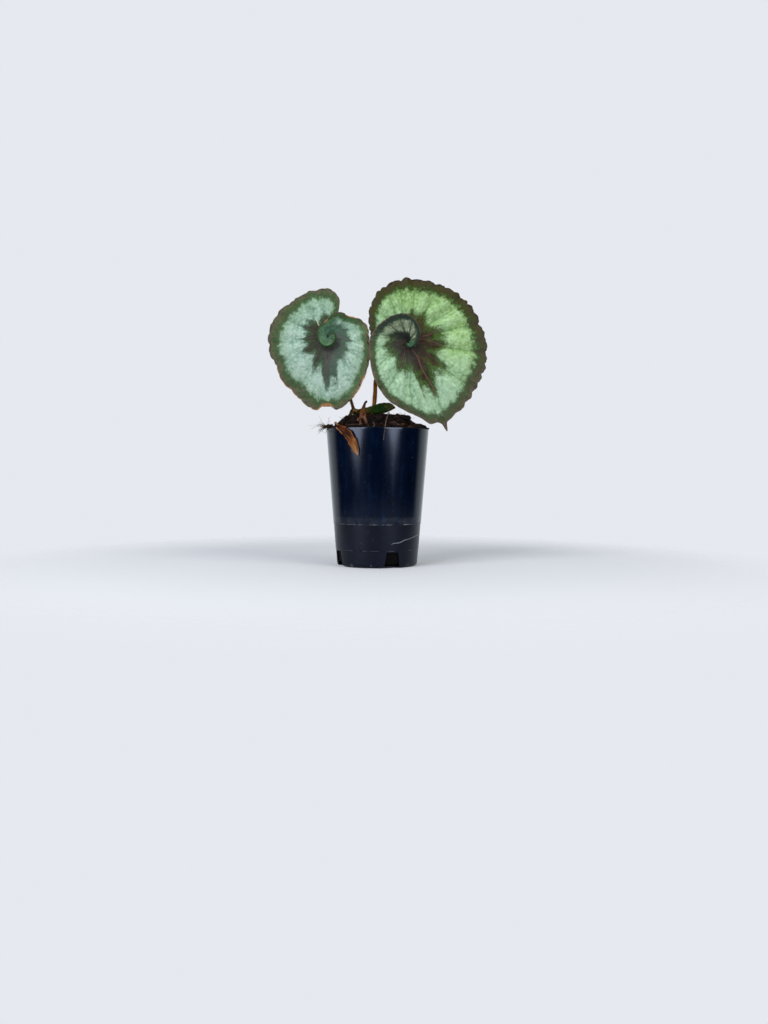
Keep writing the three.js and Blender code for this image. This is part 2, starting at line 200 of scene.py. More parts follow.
def pot_sheet():
    """The outside of the pot as rows of [radius, height], and its columns bent round the slots."""
    foot = float(wall_radius(FOOT_ROUND)) - FOOT_ROUND
    rows = [(r, 0.0) for r in (6, 14, 24, float(wall_radius(0)) - SLOT_REACH, foot)]
    for turn in np.radians([15, 30, 45, 60, 75]):
        rows.append((foot + FOOT_ROUND * math.sin(turn), FOOT_ROUND * (1 - math.cos(turn))))
    heights = [3, 5, 7, 9, 11, 13, SLOT_HEIGHT, 15.4, BAND_Z - STEP_SLOPE, BAND_Z, BAND_Z + 0.6]
    heights += [*np.arange(19, 40, 2), SHOULDER_Z - 1.2, SHOULDER_Z - STEP_SLOPE, SHOULDER_Z]
    heights += [SHOULDER_Z + 0.6, *np.arange(44, 130, 4), POT_HEIGHT - 1.5, POT_HEIGHT]
    rows += [(float(wall_radius(z)), float(z)) for z in heights]
    step = 360 / POT_COLUMNS
    edge = SLOT_COLUMNS * step
    half_gap = 45.0  # degrees from a slot to the middle between two
    spots, open_cells = [], set()
    for row, (radius, z) in enumerate(rows):
        half = (SLOT_FOOT + (SLOT_TOP - SLOT_FOOT) * min(z / SLOT_HEIGHT, 1)) / 2
        narrow = math.degrees(math.asin(min(half / max(radius, half + 0.1), 1)))
        blend = float(smoothstep(SLOT_HEIGHT, 30, z)) if radius > foot - 2 else 1.0
        narrow += (edge - narrow) * blend
        for column in range(POT_COLUMNS):
            away = (column * step + half_gap) % 90 - half_gap
            size = abs(away)
            if size <= edge:
                size = size * narrow / edge
            else:
                size = narrow + (size - edge) * (half_gap - narrow) / (half_gap - edge)
            angle = math.radians(SLOT_TURN - 90 + column * step - away + math.copysign(size, away))
            spots.append((radius * math.cos(angle), radius * math.sin(angle), z))
            if 3 <= row and z < SLOT_HEIGHT and -edge <= away < edge - 0.01:
                open_cells.add((row, column))
    return spots, len(rows), open_cells


# Injection-moulded polypropylene: near black with a blue cast, glossy above the shoulder where
# the mould was polished, dull and scuffed below it, with hairline scratches all over.
pot_plastic, add, mm = start_material("moulded_black_polypropylene")
split = add("SeparateXYZ", mm)
across, height = split.outputs["X"], split.outputs["Z"]
above = add("MapRange", height, SHOULDER_Z - 0.5, SHOULDER_Z + 1.0)
long_grain = add("Mapping", Vector=mm, Scale=(0.16, 0.16, 0.012))
flow = add("TexNoise", Vector=long_grain, Scale=1.0, Detail=3.0)
cloud = add("TexNoise", Vector=mm, Scale=0.07, Detail=4.0)
# hairlines: the places where a warped noise crosses its middle value, about 0.15 mm wide
warped = add("TexNoise", Vector=mm, Scale=0.09, Detail=2.0, Distortion=1.2)
off_middle = add("Math ABSOLUTE", add("Math SUBTRACT", warped, 0.5))
hairline = add("MapRange", off_middle, 0.0, 0.0022, 1.0, 0.0)
broken = add("MapRange", add("TexNoise", Vector=mm, Scale=0.35, Detail=2.0), 0.56, 0.66)
marks = add("Math MULTIPLY", add("Math MULTIPLY", hairline, broken), 0.35)
# rub marks on the shoulder, the foot band and the foot, and a faint haze over the shoulder
RUB_MARKS = [
    # height, half width, the range of the noise over which it comes in, strength
    (SHOULDER_Z - 0.4, 0.5, 0.44, 0.62, 0.8),
    (BAND_Z - 0.3, 0.35, 0.5, 0.68, 0.6),
    (1.8, 2.0, 0.56, 0.66, 0.55),
    (SHOULDER_Z + 3, 4.5, 0.36, 0.8, 0.13),
]
rubbed = add("TexNoise", Vector=mm, Scale=0.11, Detail=4.0, Roughness=0.7)
for z, half_width, low, high, strength in RUB_MARKS:
    level = add("Math ABSOLUTE", add("Math SUBTRACT", height, z))
    line = add("MapRange", level, half_width * 0.3, half_width, strength, 0.0)
    line = add("Math MULTIPLY", line, add("MapRange", rubbed, low, high))
    marks = add("Math MAXIMUM", marks, line)
# one long scratch that wanders across the right front, from [x, z] to [x, z]
SCRATCH_FROM, SCRATCH_TO = (15.0, 22.6), (41.0, 30.4)
slope = (SCRATCH_TO[1] - SCRATCH_FROM[1]) / (SCRATCH_TO[0] - SCRATCH_FROM[0])
wander = add("TexNoise", Vector=mm, Scale=0.12, Detail=1.0)
start = slope * SCRATCH_FROM[0] - SCRATCH_FROM[1] - 1.5
level = add("Math ABSOLUTE", add_up(add, start, (height, 1.0), (across, -slope), (wander, 3.0)))
line = add("MapRange", level, 0.12, 0.5, 0.75, 0.0)
for axis, low, high in (("X", 13.0, 16.0), ("Y", -8.0, -12.0)):
    line = add("Math MULTIPLY", line, add("MapRange", split.outputs[axis], low, high))
marks = add("Math MAXIMUM", marks, line)
dull = add("ValToRGB", cloud, stops=[(0, "#010208"), (0.5, "#030616"), (1, "#080e24")])
drawn = add("MapRange", add_up(add, 0.0, (flow, 0.6), (cloud, 0.4)), 0.26, 0.82)
glossy = add("ValToRGB", drawn, stops=[(0, "#000410"), (0.5, "#010c22"), (1, "#0a2140")])
skin = lay_over(add, dull, (above, glossy), (marks, "#8f959c"))
gloss = add_up(add, add("MapRange", above, 0, 1, 0.24, 0.1), (flow, 0.12), (marks, 0.4))
waves = add_up(add, marks, (flow, 0.35))
bluish = {"Specular_IOR_Level": 0.24, "Specular_Tint": "#c9d3e4"}
finish_skin(add, skin, waves, strength=0.25, depth=0.4, Roughness=gloss, IOR=1.49, **bluish)

spots, rows, open_cells = pot_sheet()
faces = [
    face
    for k, face in enumerate(grid_faces(rows, POT_COLUMNS, closed=True).tolist())
    if divmod(k, POT_COLUMNS) not in open_cells
]
faces.append(list(range(POT_COLUMNS))[::-1])
pot = make_piece("nursery_pot", spots, faces, pot_plastic, slot="pot_plastic", replaces=["pot"])
wall = pot.modifiers.new("wall", "SOLIDIFY")
wall.thickness = WALL * MM
wall.offset = -1.0
wall.use_even_offset = True
edges = pot.modifiers.new("moulded_edges", "BEVEL")
edges.width = 0.3 * MM
edges.segments = 3
edges.limit_method = "ANGLE"
edges.angle_limit = math.radians(55)


# ---- Potting mix ----
# Dark peat with bark fines and coir, heaped above the rim round the plant and sunk a little
# against the wall. The surface is loose crumbs that stick to each other and to the roots.

MOUND_CENTRE = (-1.0, 0.0)
MOUND_EDGE_Z, MOUND_HEIGHT = 129.5, 14.5
MOUND_FLAT, MOUND_FOOT = 27.0, 43.0
HEAP_HEIGHT, HEAP_FROM, HEAP_TO = 4.0, 22.0, 40.0
MIX_RADIUS = 48.2
MIX_COLUMNS, MIX_RINGS = 168, 58
MIX_LEVELS = (124, 90, SHOULDER_Z, 20, 5, 2)  # heights of its rings below the top
BY_WALL, ON_RIM = 48.7, 50.6  # how far out crumbs reach
CRUMBS, CRUMB_REACH = 620, 46.5
RIM_CRUMBS, RIM_HEAP = 190, (45.2, 49.8)  # how many, and from and to where they lie
FIBRES, FIBRE_REACH = 170, 45.5
FIBRE_BENDS = 5

chance = np.random.default_rng(4064)


def mound(x, y):
    """Height of the mix, without its crumbs."""
    reach = np.hypot(x - MOUND_CENTRE[0], y - MOUND_CENTRE[1])
    rise = 1 - smoothstep(MOUND_FLAT, MOUND_FOOT, reach)
    heap = HEAP_HEIGHT * smoothstep(HEAP_FROM, HEAP_TO, np.abs(x)) * (1 - rise)
    lumps = 0.8 * np.sin(x / 3.1 + 1) * np.sin(y / 3.7) + 0.5 * np.sin(x / 5 - y / 4)
    return MOUND_EDGE_Z + MOUND_HEIGHT * rise + heap + lumps


def grain(spots, size, shift=0.0):
    """Smooth noise from -1 to 1 at each point, in lumps about as big as size."""
    return np.array([noise.noise(Vector(spot) / size + Vector((shift, -shift, shift))) for spot in spots])


def mottled(spots, middle, swing, size, shift):
    """Tones at a piece's points: a middle value with patches about as big as size."""
    return np.clip(middle + swing * grain(spots, size, shift), 0, 1)


def peat_tint(name, stops, **finish):
    """Crumbly stuff whose lumps differ in tint by their tone, from 0 to 1."""
    material, add, mm = start_material(name)
    fine = add("TexNoise", Vector=mm, Scale=1.3, Detail=5.0, Roughness=0.7)
    shade = add_up(add, -0.35, (fine, 0.7), ("tone", 1.0))
    colour = add("ValToRGB", shade, stops=stops)
    finish_skin(add, colour, fine, strength=0.8, depth=0.6, Specular_IOR_Level=0.07, **finish)
    return material


# Milled peat and composted bark, moist: almost black, with red-brown and grey-tan bits.
peat = peat_tint(
    "moist_peat_and_bark_fines",
    [(0, "#050302"), (0.4, "#120905"), (0.68, "#2e170c"), (0.88, "#502d15"), (1, "#734c31")],
    Roughness=0.93,
)

rings = np.linspace(0.02, 1, MIX_RINGS) * MIX_RADIUS
angles = np.linspace(0, 2 * np.pi, MIX_COLUMNS, endpoint=False)
ring_grid, angle_grid = np.meshgrid(rings, angles, indexing="ij")
x, y = (ring_grid * np.cos(angle_grid)).ravel(), (ring_grid * np.sin(angle_grid)).ravel()
top = np.column_stack([x, y, np.zeros(len(x))])
loose = 0.9 * grain(top, 3.4) + 0.7 * grain(top, 1.5, 7) + 0.9 * np.maximum(grain(top, 6, 3), 0)
top[:, 2] = mound(x, y) + loose * (1 - smoothstep(CRUMB_REACH, MIX_RADIUS, np.hypot(x, y)) * 0.7)
below = []
for z in MIX_LEVELS:
    radius = float(wall_radius(z)) - WALL - 0.4 - (0.4 if z < SHOULDER_Z else 0)
    radius -= 3 if z < 3 else 0
    below += [(radius * math.cos(a), radius * math.sin(a), z) for a in angles]
mix_spots = np.concatenate([top, below])
mix_faces = grid_faces(MIX_RINGS + len(MIX_LEVELS), MIX_COLUMNS, closed=True, flip=True).tolist()
mix_faces += [list(range(MIX_COLUMNS)), list(range(len(mix_spots) - MIX_COLUMNS, len(mix_spots)))[::-1]]
# below 100 mm the mix gets its darkest tone: a painted shade that keeps the mix seen through the drain
# slots dark
tone = np.where(mix_spots[:, 2] > 100, mottled(mix_spots, 0.3, 0.35, 2.6, 11), -0.3)
make_piece("potting_mix_body", mix_spots, mix_faces, peat, slot="peat", replaces=["potting_mix"], tone=tone)


def ball(detail):
    """The points and faces of a ball of radius 1."""
    shell = bmesh.new()
    bmesh.ops.create_icosphere(shell, subdivisions=detail, radius=1)
    spots = np.array([v.co[:] for v in shell.verts])
    faces = [[v.index for v in f.verts] for f in shell.faces]
    shell.free()
    return spots, faces


def lump(at, size, turn, tilt, detail, rough, seed, blunt=1.0):
    """A rough stone-like body: half sizes in mm, turned about Z and tilted, in degrees. It gets
    squarer as blunt goes below 1."""
    spots, faces = ball(detail)
    spots = np.sign(spots) * np.abs(spots) ** blunt
    spots = spots * (1 + rough * (0.7 * grain(spots, 0.8, seed) + 0.5 * grain(spots, 0.35, seed))[:, None])
    spin = Matrix.Rotation(math.radians(turn), 3, "Z") @ Matrix.Rotation(math.radians(tilt), 3, "Y")
    return (spots * np.array(size)) @ np.array(spin).T + np.array(at), faces


def gather(parts):
    """Joins [points, faces] parts into one list of points, one of faces, and each point's part."""
    spots, faces, part = [], [], []
    count = 0
    for k, (some, quads) in enumerate(parts):
        spots.append(some)
        faces += [[v + count for v in f] for f in quads]
        part += [k] * len(some)
        count += len(some)
    return np.concatenate(spots), faces, np.array(part)


def smooth(pairs, places):
    """Smooth curve through [place, value] pairs, read at many places."""
    knots, values = np.array(pairs, float).T
    places = np.asarray(places, float)
    last = len(knots) - 1
    before, after = np.maximum(np.arange(last + 1) - 1, 0), np.minimum(np.arange(last + 1) + 1, last)
    slopes = (values[after] - values[before]) / (knots[after] - knots[before])
    k = np.clip(np.searchsorted(knots, places, side="right") - 1, 0, last - 1)
    gap = knots[k + 1] - knots[k]
    t = np.clip((places - knots[k]) / gap, 0, 1)
    return (
        values[k] * (2 * t**3 - 3 * t**2 + 1)
        + values[k + 1] * (3 * t**2 - 2 * t**3)
        + gap * slopes[k] * (t**3 - 2 * t**2 + t)
        + gap * slopes[k + 1] * (t**3 - t**2)
    )


def along(path, steps):
    """Evenly spaced points on a smooth curve through the path's points."""
    path = np.array(path, float)
    knots = np.concatenate([[0], np.cumsum(np.linalg.norm(np.diff(path, axis=0), axis=1) ** 0.5)])
    fine = np.linspace(0, knots[-1], 12 * steps)
    spots = np.stack([smooth(np.column_stack([knots, path[:, k]]), fine) for k in range(3)], axis=1)
    length = np.concatenate([[0], np.cumsum(np.linalg.norm(np.diff(spots, axis=0), axis=1))])
    even = np.linspace(0, length[-1], steps + 1)
    return np.stack([np.interp(even, length, spots[:, k]) for k in range(3)], axis=1)


def unit(rows):
    """Each row at length 1."""
    return rows / np.maximum(np.linalg.norm(rows, axis=-1, keepdims=True), 1e-9)


def tube(path, radii, sides, steps, swell=None):
    """A round stem along a path, radii being [share of the way, radius] pairs. swell(share, angle)
    gives extra radius. Returns points, faces and each point's share of the way."""
    middle = along(path, steps)
    forward = unit(np.gradient(middle, axis=0))
    side = np.cross(forward[0], (0.3, 1, 0.2))
    share = np.linspace(0, 1, steps + 1)
    radius = smooth(radii, share)
    turns = np.linspace(0, 2 * np.pi, sides, endpoint=False)
    spots = []
    for k in range(steps + 1):
        side = side - forward[k] * np.dot(side, forward[k])
        side = side / np.linalg.norm(side)
        over = np.cross(forward[k], side)
        reach = radius[k] + (swell(share[k], turns) if swell else 0)
        ring = np.outer(np.cos(turns), side) + np.outer(np.sin(turns), over)
        spots.append(middle[k] + ring * np.reshape(reach, (-1, 1)))
    faces = grid_faces(steps + 1, sides, closed=True).tolist()
    count = (steps + 1) * sides
    faces += [list(range(sides))[::-1], list(range(count - sides, count))]
    return np.concatenate(spots), faces, np.repeat(share, sides)


def on_mound(inside):
    """A chance place on the mix, in plan, no further out than inside."""
    while True:
        x, y = chance.uniform(-inside, inside, 2)
        if math.hypot(x, y) < inside:
            return x, y


def chance_lump(at, size, tilt, detail, rough, seed):
    """A lump that lies turned and tilted by chance."""
    return lump(at, size, chance.uniform(0, 360), chance.uniform(-tilt, tilt), detail, rough, seed)


def keep_within(spots, limit):
    """Draws in the points that lie further out from the pot's axis than limit."""
    reach = np.maximum(np.hypot(spots[:, 0], spots[:, 1]), 1)
    spots[:, :2] *= np.minimum(1, limit / reach)[:, None]


crumbs, crumb_tones = [], []
for k in range(CRUMBS):
    x, y = on_mound(CRUMB_REACH)
    big = chance.gamma(2.0, 0.42) + 0.5
    size = big * chance.uniform(0.6, 1.25, 3) * (1, 1, 0.7)
    spot = (x, y, float(mound(x, y)) + big * 0.35)
    crumbs.append(chance_lump(spot, size, 40, detail=2 if big > 1.6 else 1, rough=0.35, seed=k))
    crumb_tones.append(chance.beta(1.6, 2.6))
for k in range(RIM_CRUMBS):  # those heaped against the wall's inside
    angle, reach = chance.uniform(0, 2 * np.pi), chance.uniform(*RIM_HEAP)
    big = chance.gamma(2.0, 0.3) + 0.4
    size = np.minimum(big * chance.uniform(0.6, 1.2, 3), (1.5, 1.5, 1.0))
    z = POT_HEIGHT + size[2] * 0.8 if reach > 48 else chance.uniform(131.2, 132.8)
    spot = (reach * math.cos(angle), reach * math.sin(angle), z)
    crumbs.append(chance_lump(spot, size, 40, detail=2, rough=0.35, seed=900 + k))
    crumb_tones.append(chance.beta(1.5, 3.2))
spots, faces, part = gather(crumbs)
keep_within(spots, np.where(spots[:, 2] < POT_HEIGHT + 0.1, BY_WALL, ON_RIM))
make_piece("mix_crumbs", spots, faces, peat, slot="peat", tone=np.array(crumb_tones)[part])


def wisp(start, heading, length, radius, curl, droop=0.0, steps=9, sides=5):
    """A thin fibre that wanders from a start point."""
    spot, ahead = np.array(start, float), unit(np.array(heading, float))
    path = [spot]
    for _ in range(FIBRE_BENDS):
        ahead = unit(ahead + chance.normal(0, curl, 3) + np.array((0, 0, -droop)))
        spot = spot + ahead * length / FIBRE_BENDS
        path.append(spot)
    return tube(path, [[0, radius], [0.7, radius * 0.8], [1, radius * 0.35]], sides, steps)[:2]


# Coir and fine dead roots: dull brown to pale straw threads, a fraction of a millimetre thick.
coir = peat_tint(
    "coir_and_dead_roots",
    [(0, "#150c06"), (0.5, "#3d2917"), (0.8, "#6e4d2f"), (1, "#a88460")],
    Roughness=0.8,
)
fibres, fibre_tones = [], []
for k in range(FIBRES):
    x, y = on_mound(FIBRE_REACH)
    angle = chance.uniform(0, 2 * np.pi)
    heading = (math.cos(angle), math.sin(angle), chance.uniform(-0.05, 0.35))
    start = (x, y, float(mound(x, y)) + chance.uniform(0.3, 1.4))
    length, radius = chance.uniform(4, 13), chance.uniform(0.09, 0.22)
    fibres.append(wisp(start, heading, length, radius, curl=0.28, droop=0.06))
    fibre_tones.append(chance.beta(2, 2.4))
spots, faces, part = gather(fibres)
keep_within(spots, BY_WALL - 0.1)
make_piece("mix_fibres", spots, faces, coir, slot="peat", tone=np.array(fibre_tones)[part])


# ---- Bark chips and the clump on the rim ----
# Bits of composted pine bark up to 13 mm long lie loose on the mix, and a knot of peat that fine
# roots hold together has come to rest on the rim at the left, its root hairs sticking out.

BARK_CHIPS = {
    # node: place in plan, half sizes, turn and tilt in degrees, tone
    "bark_1": ((15.5, -33), (5.4, 2.2, 1.5), 38, 28, 0.72),
    "bark_2": ((24.5, -18), (6.6, 4.2, 2.6), -8, 5, 0.08),
    "bark_3": ((36.5, -14), (4.6, 3.4, 2.2), 35, -16, 0.3),
    "bark_4": ((43.5, -8), (4.4, 3.4, 2.4), 70, 8, 0.1),
    "bark_5": ((1, -31), (4.6, 2.8, 1.8), -12, 20, 0.42),
    "bark_6": ((-33, -17), (4.8, 3.4, 2.2), 25, -14, 0.2),
    "bark_7": ((-26, -33), (4.4, 2.6, 1.8), -40, 18, 0.45),
    "bark_8": ((24, 20), (5.6, 3.6, 2.2), 60, -10, 0.5),
    "bark_9": ((-18, 27), (5.2, 3.2, 2.2), 15, 12, 0.35),
    "bark_10": ((4, 34), (4.6, 3, 2), -55, 20, 0.6),
}
SUNK = 0.35  # share of its half height by which a chip's middle stands over the mix
CLUMP_AT, CLUMP_SIZE = (-46.6, -4.0, 134.6), (6.4, 6.0, 2.4)
CLUMP_LUMPS, CLUMP_HAIRS = 60, 84

# Pine bark: cork plates in red-brown and black-brown, dull, with torn lighter edges.
bark = peat_tint(
    "composted_pine_bark",
    [(0, "#060303"), (0.35, "#100805"), (0.65, "#301a13"), (1, "#624439")],
    Roughness=0.86,
)
for seed, (node, (at, size, turn, tilt, tone)) in enumerate(BARK_CHIPS.items()):
    z = float(mound(*at)) + SUNK * size[2]
    spots, faces = lump((*at, z), size, turn, tilt, detail=4, rough=0.34, seed=40 + seed, blunt=0.62)
    spots[:, 2] += 0.3 * np.abs(grain(spots * (1, 1, 3), 2.2, seed))  # the edges of cork plates
    tone = mottled(spots, tone, 0.5, 1.6, seed)
    make_piece(node + "_chip", spots, faces, bark, slot="bark", replaces=[node], tone=tone)

knot, knot_tones = [], []
for k in range(CLUMP_LUMPS):
    offset = unit(chance.normal(0, 1, 3)) * chance.uniform(0, 1) ** 0.5 * (0.85, 0.9, 0.7)
    spot = np.array(CLUMP_AT) + offset * CLUMP_SIZE
    spot[2] = max(spot[2], POT_HEIGHT + 1.2)
    size = chance.uniform(0.5, 1.5) * chance.uniform(0.6, 1.2, 3)
    knot.append(chance_lump(spot, size, 60, detail=2, rough=0.4, seed=300 + k))
    knot_tones.append(chance.beta(1.5, 3.5))
for k in range(CLUMP_HAIRS):
    angle = chance.normal(np.pi, 0.9)
    heading = (math.cos(angle), math.sin(angle), chance.normal(0.1, 0.45))
    start = np.array(CLUMP_AT) + np.array(heading) * CLUMP_SIZE * (0.7, 0.8, 0.3)
    start[2] = max(start[2], POT_HEIGHT + 1.0)
    length = chance.uniform(3, 9) + (chance.uniform(6, 12) if k % 6 == 0 else 0)
    radius = chance.uniform(0.07, 0.15)
    knot.append(wisp(start, heading, length, radius, curl=0.25, droop=0.09, steps=8, sides=4))
    knot_tones.append(chance.uniform(0.3, 0.75))
spots, faces, part = gather(knot)
tone = np.array(knot_tones)[part]
make_piece("rim_clump_of_roots", spots, faces, coir, slot="peat", replaces=["rim_clump"], tone=tone)


# ---- Rhizome ----
# The begonia's creeping stem: a knobbly rootstock as thick as a pencil, half sunk in the mix,
# ringed with the scars of shed leaves and swollen at the growing tip, where the stalks arise.

RHIZOME_PATH = [
    (13, 5, 138), (5, 2, 144), (-4, -1, 146.5), (-13, -3.5, 146.6), (-20, -6, 146.8), (-26.5, -8, 147.8)
]
RHIZOME_RADII = [[0, 2.6], [0.15, 4.2], [0.5, 4.5], [0.7, 4.1], [0.88, 5], [0.96, 4.4], [1, 3]]


def knobbly(depth, knobs, seed):
    """Extra radius for a tube: bumps up to depth mm, so many along its length."""

    def swell(share, turns):
        rounds = [Vector((share * knobs, 1.4 * math.cos(t) + seed, 1.4 * math.sin(t))) for t in turns]
        return depth * np.array([noise.noise(spot) for spot in rounds])

    return swell


# Rhizome skin: green-brown and corky, mottled with pale lenticels and black crevices.
rhizome_skin = peat_tint(
    "rhizome_cork_skin",
    [(0, "#151106"), (0.35, "#36310f"), (0.62, "#5c5626"), (0.82, "#86804a"), (1, "#b5b584")],
    Roughness=0.7,
)
spots, faces, share = tube(RHIZOME_PATH, RHIZOME_RADII, sides=36, steps=70, swell=knobbly(1.5, 9, 3))
spots += 0.35 * grain(spots, 1.1, 9)[:, None] * (0.5, 1, 1)
scars = 0.5 + 0.5 * np.cos(share * 2 * np.pi * 8)
tone = mottled(spots, 0.5 - 0.3 * scars**6, 0.8, 1.5, 2)
make_piece("rhizome_stem", spots, faces, rhizome_skin, slot="rhizome_skin", replaces=["rhizome"], tone=tone)


# ---- Leaf stalks ----
# Juicy round stalks, orange-brown and red-brown, set with short soft hairs. Each rises from the
# rhizome's tip and bends forward at its top to meet its leaf's hub.

RIGHT_STALK = {
    "path": [
        (-5, -1.5, 146), (-3.5, -1.8, 156), (-2.6, -0.8, 167), (-2.1, 1, 178), (1, 3.6, 190), (9, 4.4, 202),
        (20, 1.8, 211.5), (27.4, -5, 215.2), (28.6, -12, 215.7), (28.6, -15.6, 215.7),
    ],
    "radii": [[0, 2.5], [0.12, 2.1], [0.75, 1.9], [0.86, 1.7], [0.95, 1.1], [1, 0.7]],
}
LEFT_STALK = {
    "path": [
        (-23, -6.8, 148), (-24, -5.6, 153.5), (-26, -4, 160), (-30.8, -1, 174), (-38, 3, 194),
        (-45, 4, 211), (-48.6, 0, 219), (-49.2, -6, 220.9), (-49.2, -9.6, 220.9),
    ],
    "radii": [[0, 2], [0.1, 1.5], [0.75, 1.5], [0.87, 1.4], [0.95, 1], [1, 0.7]],
}
STALK_HAIRS = 260


def stalk_skin(name, stops):
    """Stalk skin: smooth and faintly wet, streaked along its length, lit through at the edges."""
    material, add, mm = start_material(name)
    drawn = add("Mapping", Vector=mm, Scale=(1.3, 1.3, 0.12))
    streak = add("TexNoise", Vector=drawn, Scale=1.0, Detail=4.0, Roughness=0.6)
    dots = add("TexNoise", Vector=mm, Scale=1.1, Detail=3.0)
    shade = add("MapRange", add_up(add, streak, (dots, 0.5)), 0.45, 1.05)
    colour = add("ValToRGB", shade, stops=stops)
    gloss = add("MapRange", dots, 0, 1, 0.4, 0.62)
    finish = {"IOR": 1.4, "Specular_IOR_Level": 0.14, "Subsurface_Weight": 0.12, "Subsurface_Scale": 0.0015}
    finish_skin(add, colour, shade, strength=0.35, depth=0.4, Roughness=gloss, **finish)
    return material


def bristles(path, radii, count, steps=80):
    """Short soft hairs all round a stem."""
    middle = along(path, steps)
    forward = unit(np.gradient(middle, axis=0))
    thick = smooth(radii, np.linspace(0, 1, steps + 1))
    hairs = []
    for _ in range(count):
        k = int(chance.uniform(0.1, 0.92) * steps)
        out = unit(np.cross(forward[k], chance.normal(0, 1, 3)))
        foot, heading = middle[k] + out * thick[k] * 0.9, out + forward[k] * 0.3
        length = chance.uniform(0.9, 2.2)
        hairs.append(wisp(foot, heading, length, radius=0.06, curl=0.22, steps=3, sides=3))
    return gather(hairs)[:2]


orange_stalk = stalk_skin("begonia_stalk_orange_brown", [(0, "#603a04"), (0.45, "#8f5e08"), (1, "#c98f28")])
red_stalk = stalk_skin("begonia_stalk_red_brown", [(0, "#361a04"), (0.45, "#5e3404"), (1, "#8a5620")])
# Stalk hairs: clear cell threads, red-brown to pale, dull, about a tenth of a millimetre thick.
hair_tints = [(0, "#6b3f24"), (0.6, "#9c7355"), (1, "#cdb49c")]
hair_skin = peat_tint("begonia_stalk_hairs", hair_tints, Roughness=0.6)
for side, stalk, skin in (("right", RIGHT_STALK, orange_stalk), ("left", LEFT_STALK, red_stalk)):
    spots, faces, _ = tube(stalk["path"], stalk["radii"], sides=24, steps=90, swell=knobbly(0.3, 16, 5))
    make_piece(side + "_leaf_stalk", spots, faces, skin, slot="stalk_skin", replaces=["stalk_" + side])
    spots, faces = bristles(stalk["path"], stalk["radii"], STALK_HAIRS)
    tone = chance.uniform(0.2, 0.9, len(spots))
    make_piece(side + "_stalk_hairs", spots, faces, hair_skin, slot="stalk_skin", tone=tone)


# ---- Leaves ----
# Each blade is one thin sheet that winds about the stalk's tip like a snail's shell: the free
# lobe starts behind, the sheet sweeps round in full and winds once more as the centre. Its top
# is quilted between sunken veins; hairs and air under the skin make the middle band silver.

